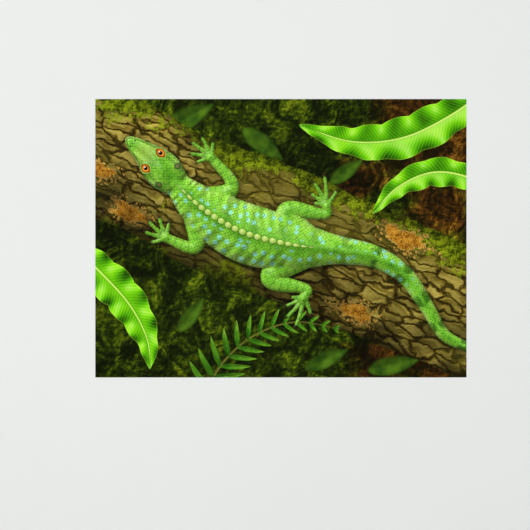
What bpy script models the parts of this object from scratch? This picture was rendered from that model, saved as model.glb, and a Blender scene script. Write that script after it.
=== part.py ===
"""A printed wall mural: one thin vinyl sheet with a full-bleed jungle picture.

The sheet hangs flat on a wall. +X runs to the viewer's right, +Z runs up and the picture
faces -Y. The origin is the centre of the back face, where the sheet meets the wall.

The film is one plain plate. Each printed colour area is a thin plate of its own on the
front of the film, inlaid edge to edge with its neighbours, so the face stays flat. The
picture is a generic one: a green lizard seen from above on a slanting trunk, with strap
leaves, a fern and soft leaves far behind it.

Lengths are metres. Most motifs are ribbons: a smooth line and a half-width along it.
"""

from dataclasses import dataclass, field
from math import cos, pi, radians, sin

import bmesh
import bpy
import numpy as np
from mathutils import Vector
from mathutils.geometry import delaunay_2d_cdt

# The sheet
SHEET_WIDTH = 1.2192
SHEET_HEIGHT = 0.9144
FILM_THICK = 0.0003
PRINT_THICK = 0.0003
GAP = 0.0003

# The overlay: how near points are merged, which bits are too small to keep, and how borders move in
SNAP = 0.0008
SLIVER_AREA = 1e-9
SCRAP_AREA = 1.2e-4
SCRAP_ROUNDS = 4
SHARPEST_MITRE = 3.0
INSET_TRIES = 12
INSET_EASE = 0.6
LEAST_LEFT = 0.15
THINNEST_HALF = 0.0006

# The trunk, which slants down to the right and carries the lizard
TRUNK_TILT = radians(-24)
TRUNK_MIDDLE = (0.0, 0.015)
TRUNK_REACH = 0.86
TRUNK_HALF = 0.210
TRUNK_BUMPS = ((0.010, 5.3, 0.4), (0.006, 11.7, 2.1), (0.003, 23.0, 0.9))
TRUNK_LOWER_TURN = 1.7
TRUNK_STEPS = 44
# Lichen patches as (along the trunk, across it, half-length, half-width, turn of the lumps)
LICHEN_PATCHES = (
    (-0.480, -0.140, 0.060, 0.028, 0.4), (-0.620, -0.050, 0.042, 0.022, 2.2),
    (0.375, 0.150, 0.070, 0.030, 4.1), (0.330, -0.135, 0.058, 0.026, 1.3),
)
LICHEN_LUMPS = ((0.16, 3), (0.10, 5), (0.06, 8))
LICHEN_STEPS = 30

# The lizard's line from snout to tail, as (along the trunk, across it)
LIZARD_LINE = (
    (-0.585, 0.078), (-0.498, 0.054), (-0.385, 0.012), (-0.272, -0.028), (-0.122, -0.046),
    (0.040, -0.020), (0.202, 0.030), (0.315, 0.056), (0.430, 0.040), (0.535, -0.024),
    (0.625, -0.085), (0.720, -0.092),
)
# Its half-width at stations along that line: snout, eyes, jaw, neck, shoulders, belly, hips, tail
LIZARD_WIDTHS = (
    (0.000, 0.003), (0.007, 0.015), (0.027, 0.0245), (0.069, 0.037), (0.110, 0.051), (0.155, 0.061),
    (0.195, 0.051), (0.232, 0.044), (0.306, 0.064), (0.412, 0.088), (0.525, 0.099), (0.625, 0.087),
    (0.712, 0.068), (0.825, 0.045), (1.125, 0.026), (1.500, 0.012),
)
NECK_AT = 0.226
RUMP_AT = 0.800
HEAD_STEPS, BODY_STEPS, TAIL_STEPS = 24, 28, 30
# The crest is a row of scales, each widest a little behind its front and narrowest where the next begins
CREST_FROM, CREST_TO = 0.188, 0.762
CREST_TEETH = 22
CREST_HALF = 0.0094
CREST_NOTCH = 0.34
CREST_SWELL = 0.30
CREST_END_TURN = 0.12
# An eye is a lens whose half-width falls off with the square of the distance from its middle
EYE_AT, EYE_ACROSS = 0.108, 0.70
EYE_RADIUS, PUPIL_RADIUS = 0.0144, 0.0068
EYE_WIDE, EYE_BOW = 0.90, 0.56
EYE_STEPS, PUPIL_STEPS = 10, 10


@dataclass(frozen=True)
class Limb:
    """A leg: where it leaves the body, the joints as (forward, outward), its girth and its toes."""

    root: float
    side: int
    joints: tuple
    girth: tuple
    toes: tuple
    toe_angles: tuple


FRONT_TOES, FRONT_FAN = (0.056, 0.078, 0.090, 0.082, 0.058), (-60, -30, -2, 26, 58)
HIND_TOES, HIND_FAN = (0.048, 0.074, 0.098, 0.112, 0.066), (6, 32, 56, 80, 118)
FRONT_GIRTH = (0.034, 0.028, 0.020, 0.0145)
HIND_GIRTH = (0.049, 0.040, 0.029, 0.0165, 0.0145)
FRONT_RIGHT_JOINTS = ((0, 0.024), (-0.055, 0.096), (-0.034, 0.132), (0.062, 0.146))
FRONT_LEFT_JOINTS = ((0, 0.024), (-0.080, 0.090), (-0.078, 0.124), (0.002, 0.150))
HIND_RIGHT_JOINTS = ((0, 0.014), (0.082, 0.084), (0.070, 0.116), (-0.036, 0.112), (-0.040, 0.140))
HIND_LEFT_JOINTS = ((0, 0.014), (0.106, 0.090), (0.104, 0.126), (0.000, 0.138), (0.002, 0.166))
LIMBS = {
    "front_right": Limb(0.308, 1, FRONT_RIGHT_JOINTS, FRONT_GIRTH, FRONT_TOES, FRONT_FAN),
    "front_left": Limb(0.308, -1, FRONT_LEFT_JOINTS, FRONT_GIRTH, FRONT_TOES, FRONT_FAN),
    "hind_right": Limb(0.715, 1, HIND_RIGHT_JOINTS, HIND_GIRTH, HIND_TOES, HIND_FAN),
    "hind_left": Limb(0.715, -1, HIND_LEFT_JOINTS, HIND_GIRTH, HIND_TOES, HIND_FAN),
}
TOE_ROOT_HALF = 0.0074
TOE_TIP_HALF = 0.0030
# A toe's knuckles and claw as (share of its length, sideways bend, share of the way from tip to root half)
TOE_SHAPE = (
    (0.00, 0.000, 1.00), (0.22, 0.012, 0.72), (0.42, 0.018, 0.92), (0.62, 0.014, 0.46), (0.78, 0.002, 0.62),
    (0.90, -0.020, 0.10), (1.00, -0.060, -0.45),
)
LEG_SPANS = 5
PALM_SWELL = 1.12
PALM_STEPS = 10


@dataclass(frozen=True)
class Blade:
    """A strap leaf: its line, greatest half-width, how wavy its margin is and how many waves."""

    line: tuple
    half: float
    wave: float
    waves: float


BLADES = (
    Blade(((0.690, 0.500), (0.560, 0.405), (0.400, 0.330), (0.230, 0.318), (0.060, 0.372)),
          0.066, 0.060, 6.5),
    Blade(((0.700, 0.150), (0.600, 0.205), (0.490, 0.215), (0.380, 0.165), (0.300, 0.080)),
          0.046, 0.080, 5.5),
    Blade(((-0.690, -0.020), (-0.600, -0.105), (-0.500, -0.215), (-0.440, -0.330), (-0.430, -0.430)),
          0.062, 0.070, 6.0),
)
BLADE_WIDEST = 0.42
BLADE_FULLNESS = 0.75
BLADE_STEPS, MIDRIB_STEPS = 34, 16
MIDRIB_HALF = 0.0032
MIDRIB_END = 0.35
MIDRIB_FROM, MIDRIB_TO = 0.10, 0.90

FERN_LINE = ((-0.270, -0.560), (-0.200, -0.420), (-0.090, -0.320), (0.050, -0.275), (0.200, -0.300))
FERN_STEM_HALF = 0.0042
FERN_STEM_END = 0.3
FERN_STEM_STEPS = 20
FERN_LEAFLETS = 13
FERN_FROM, FERN_TO = 0.12, 0.96
FERN_LONGEST = 0.105
FERN_SHORTENING, FERN_FALL = 0.80, 1.3
FERN_LEAFLET_HALF = 0.0105
FERN_THINNING = 0.55
FERN_SWEEP = radians(62)
FERN_CLOSING = 0.35
# A leaflet as (share of its length, bend towards the frond's tip, share of its half-width)
LEAFLET_SHAPE = ((0.0, 0.0, 0.5), (0.3, 0.0, 1.0), (0.7, 0.03, 0.75), (1.0, 0.09, 0.08))

# Soft leaves far behind, as (x, z, half-length, half-width, tilt in degrees)
FAR_LEAVES = (
    (-0.310, 0.395, 0.100, 0.036, 28), (-0.060, 0.310, 0.080, 0.030, -38), (0.215, 0.222, 0.066, 0.024, 36),
    (0.150, -0.395, 0.076, 0.027, 24), (0.370, -0.415, 0.084, 0.030, 12), (-0.295, -0.250, 0.066, 0.025, 52),
)
FAR_LEAF_STEPS = 12
FAR_LEAF_LEAN, FAR_LEAF_FULLNESS = 0.8, 0.9

COLOURS = {
    "film": (0.86, 0.87, 0.86),
    "backdrop": (0.030, 0.055, 0.010),
    "far_leaf": (0.085, 0.190, 0.020),
    "trunk": (0.150, 0.098, 0.038),
    "lichen": (0.420, 0.230, 0.040),
    "fern": (0.130, 0.360, 0.030),
    "blade": (0.220, 0.640, 0.040),
    "midrib": (0.560, 0.860, 0.220),
    "lizard": (0.260, 0.620, 0.120),
    "crest": (0.520, 0.780, 0.160),
    "iris": (0.860, 0.300, 0.030),
    "pupil": (0.010, 0.010, 0.010),
}
FINISHES = {"film": 0.55, "pupil": 0.35}
USUAL_FINISH = 0.45


@dataclass
class Motif:
    """One printed thing: its node's name, its colour and the closed outlines that make it up."""

    name: str
    colour: str
    outlines: list = field(default_factory=list)


def smooth_line(points, spans=6):
    """A Catmull-Rom line through the points, with this many steps between each two."""
    p = np.array(points, float)
    p = np.vstack([2 * p[0] - p[1], p, 2 * p[-1] - p[-2]])
    t = np.arange(spans)[:, None] / spans
    runs = []
    for a, b, c, d in zip(p, p[1:], p[2:], p[3:]):
        bend = 2 * a - 5 * b + 4 * c - d
        twist = 3 * b - a - 3 * c + d
        runs.append(0.5 * (2 * b + (c - a) * t + bend * t**2 + twist * t**3))
    return np.vstack([*runs, p[-2:-1]])


def lengths_along(line):
    """The distance along the line to each of its points."""
    return np.concatenate([[0.0], np.cumsum(np.linalg.norm(np.diff(line, axis=0), axis=1))])


def headings(line):
    """The unit direction of the line at each of its points."""
    ways = np.gradient(line, axis=0)
    return ways / np.linalg.norm(ways, axis=1)[:, None]


def left_of(ways):
    """Each direction turned a quarter turn to the left."""
    return np.stack([-ways[..., 1], ways[..., 0]], axis=-1)


def resampled(line, start, end, steps):
    """Points and headings at even distances along the line, from start to end."""
    at = lengths_along(line)
    wanted = np.linspace(start, end, steps + 1)
    ways = headings(line)
    points = np.stack([np.interp(wanted, at, line[:, k]) for k in (0, 1)], axis=1)
    turned = np.stack([np.interp(wanted, at, ways[:, k]) for k in (0, 1)], axis=1)
    return wanted, points, turned / np.linalg.norm(turned, axis=1)[:, None]


def ribbon(points, ways, halves):
    """The outline of a ribbon: up its left side, then back down its right."""
    side = left_of(ways) * np.asarray(halves)[:, None]
    return np.vstack([points + side, (points - side)[::-1]])


def unfolded_ribbon(points, halves):
    """A ribbon without the edge points that a tight bend folds back over it."""
    edge = ribbon(points, headings(points), halves)
    clear = np.linalg.norm(edge[:, None] - points, axis=2) - halves
    return edge[clear.min(axis=1) > -SNAP]


def smooth_table(table, at):
    """The table's value at each distance, on a smooth curve through its stations."""
    stations, values = np.array(table, float).T
    dense = smooth_line(np.stack([stations, values], axis=1), 8)
    return np.interp(at, dense[:, 0], dense[:, 1])


def ring(steps):
    """A circle of radius 1 about the origin, as this many points."""
    turn = np.linspace(0, 2 * pi, steps, endpoint=False)
    return np.stack([np.cos(turn), np.sin(turn)], axis=1)


def patch(x, z, long, short, phase):
    """A lumpy round patch with these half-sizes."""
    turn = np.linspace(0, 2 * pi, LICHEN_STEPS, endpoint=False)
    swell = 1 + sum(size * np.sin(count * turn + phase * count) for size, count in LICHEN_LUMPS)
    return np.stack([x + long * swell * np.cos(turn), z + short * swell * np.sin(turn)], axis=1)


def straight_leaf(x, z, long, short, tilt):
    """A leaf with a straight midline, pointed at both ends, about a centre with these half-sizes."""
    way = np.array([cos(tilt), sin(tilt)])
    share = np.linspace(0, 1, FAR_LEAF_STEPS + 1)
    line = np.array([x, z]) + np.outer((2 * share - 1) * long, way)
    halves = np.maximum(short * np.sin(pi * share**FAR_LEAF_LEAN) ** FAR_LEAF_FULLNESS, THINNEST_HALF)
    return ribbon(line, np.tile(way, (len(line), 1)), halves)


def on_trunk(points):
    """Points given along and across the trunk, in the picture's plane."""
    along, across = np.array(points, float).T
    x = TRUNK_MIDDLE[0] + along * cos(TRUNK_TILT) - across * sin(TRUNK_TILT)
    z = TRUNK_MIDDLE[1] + along * sin(TRUNK_TILT) + across * cos(TRUNK_TILT)
    return np.stack([x, z], axis=1)


def trunk_motifs():
    """The slanting trunk, bumpy on both edges, and the lichen patches on it."""
    along = np.linspace(-TRUNK_REACH, TRUNK_REACH, TRUNK_STEPS + 1)

    def edge(shift):
        return TRUNK_HALF + sum(a * np.sin(f * along + p + shift) for a, f, p in TRUNK_BUMPS)

    upper = np.stack([along, edge(0.0)], axis=1)
    lower = np.stack([along, -edge(TRUNK_LOWER_TURN)], axis=1)
    trunk = Motif("print_trunk", "trunk", [on_trunk(np.vstack([upper, lower[::-1]]))])
    patches = []
    for number, sizes in enumerate(LICHEN_PATCHES, 1):
        patches.append(Motif(f"print_lichen_{number}", "lichen", [on_trunk(patch(*sizes))]))
    return [trunk, *patches]


def toe_outline(start, way, aside, length):
    """One toe, with its knuckles and its claw, whose tip curls back."""
    shares, bends, swells = np.array(TOE_SHAPE).T
    points = start + length * (np.outer(shares, way) + np.outer(bends, aside))
    return ribbon(points, headings(points), TOE_TIP_HALF + (TOE_ROOT_HALF - TOE_TIP_HALF) * swells)


def limb_outlines(line, limb):
    """A leg with its toes, placed from the body's line at the leg's root."""
    at = lengths_along(line)
    root = np.array([np.interp(limb.root, at, line[:, k]) for k in (0, 1)])
    ways = headings(line)
    back = np.array([np.interp(limb.root, at, ways[:, k]) for k in (0, 1)])
    forward = -back / np.linalg.norm(back)
    outward = np.array([forward[1], -forward[0]]) * limb.side
    joints = [root + f * forward + o * outward for f, o in limb.joints]
    leg = smooth_line(joints, LEG_SPANS)
    joint_at = lengths_along(leg)[::LEG_SPANS]
    halves = np.interp(lengths_along(leg), joint_at, limb.girth)
    ankle = leg[-1]
    palm = PALM_SWELL * limb.girth[-1]
    outlines = [unfolded_ribbon(leg, halves), ankle + palm * ring(PALM_STEPS)]
    for length, angle in zip(limb.toes, limb.toe_angles):
        way = forward * cos(radians(angle)) + outward * sin(radians(angle))
        aside = limb.side * np.array([way[1], -way[0]])
        outlines.append(toe_outline(ankle, way, aside, length))
    return outlines


def crest_motif(line):
    """The row of crest scales along the back."""
    scale = (CREST_TO - CREST_FROM) / CREST_TEETH
    starts = CREST_FROM + scale * np.arange(CREST_TEETH)
    wanted = np.append(np.stack([starts, starts + CREST_SWELL * scale], axis=1).ravel(), CREST_TO)
    at = lengths_along(line)
    points = np.stack([np.interp(wanted, at, line[:, k]) for k in (0, 1)], axis=1)
    teeth = np.where(np.arange(len(wanted)) % 2, 1.0, CREST_NOTCH)
    taper = np.sin(np.linspace(CREST_END_TURN, pi - CREST_END_TURN, len(wanted)))
    outline = ribbon(points, headings(points), CREST_HALF * teeth * taper)
    return Motif("print_lizard_crest", "crest", [outline])


def eye_motifs(line):
    """The two eyes: a lens for the iris, with its long way along the body, and a round pupil."""
    _, centres, ways = resampled(line, EYE_AT, EYE_AT + EYE_RADIUS, 1)
    way = ways[0]
    sideways = left_of(ways)[0] * smooth_table(LIZARD_WIDTHS, [EYE_AT])[0] * EYE_ACROSS
    corner = (EYE_WIDE / EYE_BOW) ** 0.5
    along = np.linspace(-corner, corner, EYE_STEPS + 1)
    halves = np.maximum(EYE_RADIUS * (EYE_WIDE - EYE_BOW * along**2), THINNEST_HALF)
    found = []
    for number, side in enumerate((1, -1), 1):
        centre = centres[0] + side * sideways
        lens = ribbon(centre + np.outer(EYE_RADIUS * along, way), np.tile(way, (len(along), 1)), halves)
        pupil = centre + PUPIL_RADIUS * ring(PUPIL_STEPS)
        found.append(Motif(f"print_lizard_eye_{number}", "iris", [lens]))
        found.append(Motif(f"print_lizard_pupil_{number}", "pupil", [pupil]))
    return found


def lizard_motifs():
    """The lizard from above: tail, legs, trunk of the body, head, crest and eyes, lowest first."""
    line = on_trunk(smooth_line(LIZARD_LINE))
    total = lengths_along(line)[-1]

    def stretch(start, end, steps):
        at, points, ways = resampled(line, start, end, steps)
        return ribbon(points, ways, smooth_table(LIZARD_WIDTHS, at))

    found = [Motif("print_lizard_tail", "lizard", [stretch(RUMP_AT, total, TAIL_STEPS)])]
    for name, limb in LIMBS.items():
        found.append(Motif(f"print_lizard_leg_{name}", "lizard", limb_outlines(line, limb)))
    found.append(Motif("print_lizard_body", "lizard", [stretch(NECK_AT, RUMP_AT, BODY_STEPS)]))
    found.append(Motif("print_lizard_head", "lizard", [stretch(0.0, NECK_AT, HEAD_STEPS)]))
    return [*found, crest_motif(line), *eye_motifs(line)]


def blade_motifs():
    """The strap leaves, each with its pale midrib."""
    found = []
    for number, blade in enumerate(BLADES, 1):
        line = smooth_line(blade.line)
        total = lengths_along(line)[-1]
        at, points, ways = resampled(line, 0.0, total, BLADE_STEPS)
        share = at / total
        swell = np.sin(pi * share ** (np.log(0.5) / np.log(BLADE_WIDEST))) ** BLADE_FULLNESS
        ripple = 1 + blade.wave * np.sin(2 * pi * blade.waves * share)
        halves = np.maximum(blade.half * swell * ripple, THINNEST_HALF)
        found.append(Motif(f"print_blade_{number}", "blade", [ribbon(points, ways, halves)]))
        at, points, ways = resampled(line, MIDRIB_FROM * total, MIDRIB_TO * total, MIDRIB_STEPS)
        taper = np.linspace(1.0, MIDRIB_END, len(at))
        found.append(Motif(f"print_midrib_{number}", "midrib", [ribbon(points, ways, MIDRIB_HALF * taper)]))
    return found


def fern_motif():
    """A fern frond: a stem with pairs of leaflets that shorten towards its tip."""
    line = smooth_line(FERN_LINE)
    total = lengths_along(line)[-1]
    at, points, ways = resampled(line, 0.0, total, FERN_STEM_STEPS)
    outlines = [ribbon(points, ways, FERN_STEM_HALF * np.linspace(1.0, FERN_STEM_END, len(at)))]
    _, roots, ways = resampled(line, FERN_FROM * total, FERN_TO * total, FERN_LEAFLETS - 1)
    along, lift, wide = np.array(LEAFLET_SHAPE).T
    for step, (root, way) in enumerate(zip(roots, ways)):
        share = step / (FERN_LEAFLETS - 1)
        length = FERN_LONGEST * (1 - FERN_SHORTENING * share**FERN_FALL)
        half = FERN_LEAFLET_HALF * (1 - FERN_THINNING * share)
        for side in (1, -1):
            angle = side * (FERN_SWEEP - FERN_CLOSING * share)
            out = way * cos(angle) + left_of(way) * sin(angle)
            spine = root + length * (np.outer(along, out) + np.outer(lift, way))
            outlines.append(ribbon(spine, headings(spine), half * wide))
    return Motif("print_fern", "fern", outlines)


def far_leaf_motifs():
    """The soft leaves behind the trunk."""
    found = []
    for number, (x, z, long, short, tilt) in enumerate(FAR_LEAVES, 1):
        outline = straight_leaf(x, z, long, short, radians(tilt))
        found.append(Motif(f"print_far_leaf_{number}", "far_leaf", [outline]))
    return found


def sheet_outline():
    """The sheet's rectangle, anticlockwise from the front."""
    signs = ((-1, -1), (1, -1), (1, 1), (-1, 1))
    return np.array([(x * SHEET_WIDTH / 2, z * SHEET_HEIGHT / 2) for x, z in signs])


def overlaid(motifs):
    """Lays the motifs over one another, lowest first, as triangles that each belong to the topmost motif."""
    points, faces, owners = [], [], []
    for rank, motif in enumerate(motifs):
        for outline in motif.outlines:
            outline = outline if signed_area(outline) > 0 else outline[::-1]
            faces.append(list(range(len(points), len(points) + len(outline))))
            points += [Vector(p) for p in outline]
            owners.append(rank)
    points, _, triangles, _, _, sources = delaunay_2d_cdt(points, [], faces, 1, SNAP, True)
    limit = np.array([SHEET_WIDTH / 2, SHEET_HEIGHT / 2])
    points = np.clip([tuple(p) for p in points], -limit, limit)
    kept, ranks = [], []
    for triangle, held_by in zip(triangles, sources):
        found = [owners[k] for k in held_by]
        triangle = triangle if signed_area(points[triangle]) > 0 else triangle[::-1]
        if 0 in found and signed_area(points[triangle]) > SLIVER_AREA:
            kept.append(tuple(triangle))
            ranks.append(max(found))
    return points, kept, np.array(ranks)


def signed_area(outline):
    """The outline's area, positive where it runs anticlockwise."""
    after = np.roll(outline, -1, axis=0)
    return 0.5 * float(np.sum(outline[:, 0] * after[:, 1] - after[:, 0] * outline[:, 1]))


def triangle_areas(points, triangles):
    """The area of each triangle, negative where it has turned over."""
    a, b, c = (points[np.array(triangles)[:, k]] for k in range(3))
    return 0.5 * np.cross(b - a, c - a)


def neighbours_of(triangles):
    """Each triangle's neighbours, as lists of (triangle, shared edge)."""
    meets = {}
    for number, (a, b, c) in enumerate(triangles):
        for edge in ((a, b), (b, c), (c, a)):
            meets.setdefault(frozenset(edge), []).append(number)
    found = [[] for _ in triangles]
    for edge, sides in meets.items():
        if len(sides) == 2:
            found[sides[0]].append((sides[1], edge))
            found[sides[1]].append((sides[0], edge))
    return found


def islands_of(labels, neighbours):
    """Groups of triangles that share a label and touch along edges."""
    seen, groups = set(), []
    for first in range(len(labels)):
        if first in seen:
            continue
        seen.add(first)
        group, queue = [], [first]
        while queue:
            here = queue.pop()
            group.append(here)
            for there, _ in neighbours[here]:
                if there not in seen and labels[there] == labels[first]:
                    seen.add(there)
                    queue.append(there)
        groups.append(group)
    return groups


def without_scraps(points, triangles, labels, small_ones):
    """Gives each island too small to stand alone to the neighbour that it shares most of its edge with.

    The labels in small_ones, such as the eyes, are kept at any size.
    """
    areas = triangle_areas(points, triangles)
    neighbours = neighbours_of(triangles)
    for _ in range(SCRAP_ROUNDS):
        scraps = [group for group in islands_of(labels, neighbours) if areas[group].sum() < SCRAP_AREA]
        scraps = [group for group in scraps if labels[group[0]] not in small_ones]
        if not scraps:
            break
        for group in scraps:
            shared = {}
            for here in group:
                for there, edge in neighbours[here]:
                    if labels[there] != labels[here]:
                        a, b = (points[k] for k in edge)
                        shared[labels[there]] = shared.get(labels[there], 0) + np.linalg.norm(a - b)
            if shared:
                labels[group] = max(shared, key=shared.get)
    return islands_of(labels, neighbours)


def inset_island(points, triangles):
    """The island's own corners, moved in from its border by half the gap, and its triangles."""
    parent = {}

    def find(corner):
        while parent[corner] != corner:
            corner = parent[corner]
        return corner

    for number, triangle in enumerate(triangles):
        for vertex in triangle:
            parent[(number, vertex)] = (number, vertex)
    sides = {}
    for number, (a, b, c) in enumerate(triangles):
        for start, end in ((a, b), (b, c), (c, a)):
            sides.setdefault(frozenset((start, end)), []).append((number, start, end))
    border = []
    for met in sides.values():
        if len(met) == 1:
            border.append(met[0])
            continue
        (one, start, end), (other, _, _) = met
        for vertex in (start, end):
            parent[find((other, vertex))] = find((one, vertex))
    push = {}
    for number, start, end in border:
        way = points[end] - points[start]
        inward = np.array([-way[1], way[0]]) / np.linalg.norm(way)
        for vertex in (start, end):
            push.setdefault(find((number, vertex)), []).append(inward)
    names, starts, moves, faces = {}, [], [], []
    for number, triangle in enumerate(triangles):
        face = []
        for vertex in triangle:
            corner = find((number, vertex))
            if corner not in names:
                names[corner] = len(starts)
                total = np.sum(push.get(corner, [np.zeros(2)]), axis=0)
                reach = 2 / max(float(total @ total), 4 / SHARPEST_MITRE**2)
                starts.append(points[vertex])
                moves.append(total * reach * GAP / 2)
            face.append(names[corner])
        faces.append(face)
    return settled(np.array(starts), np.array(moves), faces), faces


def settled(starts, moves, faces):
    """The corners after their moves, each shortened until no face turns over or comes near to it."""
    corners = np.array(faces)
    share = np.ones(len(starts))
    for _ in range(INSET_TRIES):
        places = starts + moves * share[:, None]
        tight = triangle_areas(places, faces) < LEAST_LEFT * triangle_areas(starts, faces)
        if not tight.any():
            break
        share[np.unique(corners[tight])] *= INSET_EASE
    return starts + moves * share[:, None]


def material_of(colour):
    """The material with this colour's name."""
    material = bpy.data.materials.get(colour)
    if material is None:
        material = bpy.data.materials.new(colour)
        material.use_nodes = True
        shader = material.node_tree.nodes["Principled BSDF"]
        shader.inputs["Base Color"].default_value = (*COLOURS[colour], 1.0)
        shader.inputs["Roughness"].default_value = FINISHES.get(colour, USUAL_FINISH)
        shader.inputs["Metallic"].default_value = 0.0
        material.diffuse_color = (*COLOURS[colour], 1.0)
    return material


def add_object(name, mesh, colour, collection):
    """Puts a mesh in the collection as an object of this name and colour."""
    mesh.materials.append(material_of(colour))
    made = bpy.data.objects.new(name, mesh)
    collection.objects.link(made)
    return made


def make_film(collection):
    """The vinyl film itself, one rectangular plate with its back face on the wall."""
    shape = bmesh.new()
    bmesh.ops.create_cube(shape, size=1.0)
    bmesh.ops.scale(shape, verts=shape.verts, vec=(SHEET_WIDTH, FILM_THICK, SHEET_HEIGHT))
    bmesh.ops.translate(shape, verts=shape.verts, vec=(0, -FILM_THICK / 2, 0))
    mesh = bpy.data.meshes.new("film")
    shape.to_mesh(mesh)
    shape.free()
    return add_object("film", mesh, "film", collection)


def make_inlay(name, colour, places, faces, collection):
    """One printed area: a flat open mesh on the film's front, thickened towards the viewer."""
    back = -(FILM_THICK + GAP)
    mesh = bpy.data.meshes.new(name)
    mesh.from_pydata([(x, back, z) for x, z in places], [], faces)
    inlay = add_object(name, mesh, colour, collection)
    wall = inlay.modifiers.new("thickness", "SOLIDIFY")
    wall.thickness = PRINT_THICK
    wall.offset = 1.0
    return inlay


def make_print(motifs, collection):
    """The printed areas, inlaid edge to edge on the front of the film."""
    points, triangles, labels = overlaid(motifs)
    eyes = {rank for rank, motif in enumerate(motifs) if motif.colour in ("iris", "pupil")}
    islands = without_scraps(points, triangles, labels, eyes)
    areas = triangle_areas(points, triangles)
    for rank, motif in enumerate(motifs):
        own = [group for group in islands if labels[group[0]] == rank]
        own.sort(key=lambda group: -areas[group].sum())
        for number, group in enumerate(own, 1):
            name = motif.name if len(own) == 1 else f"{motif.name}_part_{number}"
            places, faces = inset_island(points, [triangles[k] for k in group])
            make_inlay(name, motif.colour, places, faces, collection)


for leftover in list(bpy.data.objects):
    bpy.data.objects.remove(leftover)

MOTIFS = [
    Motif("print_backdrop", "backdrop", [sheet_outline()]),
    *far_leaf_motifs(),
    *trunk_motifs(),
    fern_motif(),
    *lizard_motifs(),
    *blade_motifs(),
]
MURAL = bpy.data.collections.new("wall_mural")
bpy.context.scene.collection.children.link(MURAL)
make_film(MURAL)
make_print(MOTIFS, MURAL)
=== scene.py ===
"""The looks of a printed wall mural: a thin vinyl sheet with a jungle picture of a green lizard.

The sheet hangs flat on a wall and faces -Y, with +X to the viewer's right and +Z up. It is built up as such
a sheet is: an adhesive coat against the wall, the white film, and the print on its face. The picture is
worked out from named sizes. Each motif is a set of ribbons, which give every point of the print its distance
from the motif's edge, its place along and across it, and the light that falls there. An ink for each motif
turns these into bark, moss, scales and leaves.
"""

import logging
import math
from dataclasses import dataclass, field
from enum import Enum
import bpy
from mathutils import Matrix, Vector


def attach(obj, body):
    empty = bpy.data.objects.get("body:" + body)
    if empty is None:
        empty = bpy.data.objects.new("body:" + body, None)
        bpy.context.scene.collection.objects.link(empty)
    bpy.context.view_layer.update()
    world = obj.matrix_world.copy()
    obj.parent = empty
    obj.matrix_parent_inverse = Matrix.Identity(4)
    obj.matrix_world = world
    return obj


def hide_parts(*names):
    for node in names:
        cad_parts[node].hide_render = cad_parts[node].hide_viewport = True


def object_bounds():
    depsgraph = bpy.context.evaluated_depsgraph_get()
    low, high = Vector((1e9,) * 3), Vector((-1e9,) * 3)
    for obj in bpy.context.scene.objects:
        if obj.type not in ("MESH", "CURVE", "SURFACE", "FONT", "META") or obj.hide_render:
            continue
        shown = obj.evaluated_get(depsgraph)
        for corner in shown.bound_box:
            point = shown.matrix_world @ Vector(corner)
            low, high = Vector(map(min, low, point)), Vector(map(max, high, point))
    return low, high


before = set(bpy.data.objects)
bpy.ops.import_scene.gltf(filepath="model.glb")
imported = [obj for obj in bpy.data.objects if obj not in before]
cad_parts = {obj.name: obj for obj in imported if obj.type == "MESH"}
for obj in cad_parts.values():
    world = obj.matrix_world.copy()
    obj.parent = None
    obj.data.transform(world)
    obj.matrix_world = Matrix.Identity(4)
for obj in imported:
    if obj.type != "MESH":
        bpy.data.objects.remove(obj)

from types import EllipsisType
from typing import Callable, ClassVar, Sequence

import bmesh
import bpy
import numpy as np
from mathutils import Matrix, Vector

CAD_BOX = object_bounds()
LOG = logging.getLogger("mural")

Array = np.ndarray
Colour = tuple[float, float, float]
Point = tuple[float, float]
Table = tuple[tuple[float, ...], ...]


def unit(*parts: float) -> Array:
    """The direction with these parts, at length 1."""
    return np.array(parts) / math.hypot(*parts)


# The picture's light comes from the upper left and in front: right, up, and towards the viewer
PICTURE_LIGHT = unit(-0.42, 0.60, 0.68)
PICTURE_SHINE = unit(*(PICTURE_LIGHT + (0.0, 0.0, 1.0)))
AMBIENT, DIFFUSE, SHARPNESS = 0.26, 0.92, 28
# The least half-width of a leaf's ribbon, at its tip
THINNEST = 0.0006


def tint(*screen: float) -> Colour:
    """A colour given as red, green and blue on a screen, 0 to 255, as linear light."""
    values = np.array(screen) / 255
    return tuple(np.where(values <= 0.04045, values / 12.92, ((values + 0.055) / 1.055) ** 2.4).tolist())


def smoothstep(value: Array, low: float = 0.0, high: float = 1.0) -> Array:
    """0 below low, 1 above high, and a smooth rise between."""
    share = np.clip((value - low) / (high - low), 0, 1)
    return share * share * (3 - 2 * share)


def smooth_line(points: Sequence[Point], spans: int = 8) -> Array:
    """A Catmull-Rom line through some points.

    Args:
        points: The points that the line goes through.
        spans: How many steps it takes between each two.

    Returns:
        The line's points, one to a row.
    """
    p = np.array(points, float)
    p = np.vstack([2 * p[0] - p[1], p, 2 * p[-1] - p[-2]])
    t = np.arange(spans)[:, None] / spans
    runs = [
        0.5 * (2 * b + (c - a) * t + (2 * a - 5 * b + 4 * c - d) * t**2 + (3 * b - a - 3 * c + d) * t**3)
        for a, b, c, d in zip(p, p[1:], p[2:], p[3:])
    ]
    return np.vstack([*runs, p[-2:-1]])


def lengths_along(line: Array) -> Array:
    """The distance along a line to each of its points."""
    return np.concatenate([[0.0], np.cumsum(np.linalg.norm(np.diff(line, axis=0), axis=1))])


def point_at(line: Array, distance: float) -> tuple[Array, Array]:
    """Where a line is at a distance along it.

    Args:
        line: The line's points.
        distance: How far along it, in metres.

    Returns:
        The point and the line's heading there.
    """
    at = lengths_along(line)
    ways = np.gradient(line, axis=0)
    ways /= np.linalg.norm(ways, axis=1)[:, None]
    place, way = ([np.interp(distance, at, values[:, k]) for k in (0, 1)] for values in (line, ways))
    return np.array(place), unit(*way)


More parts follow.
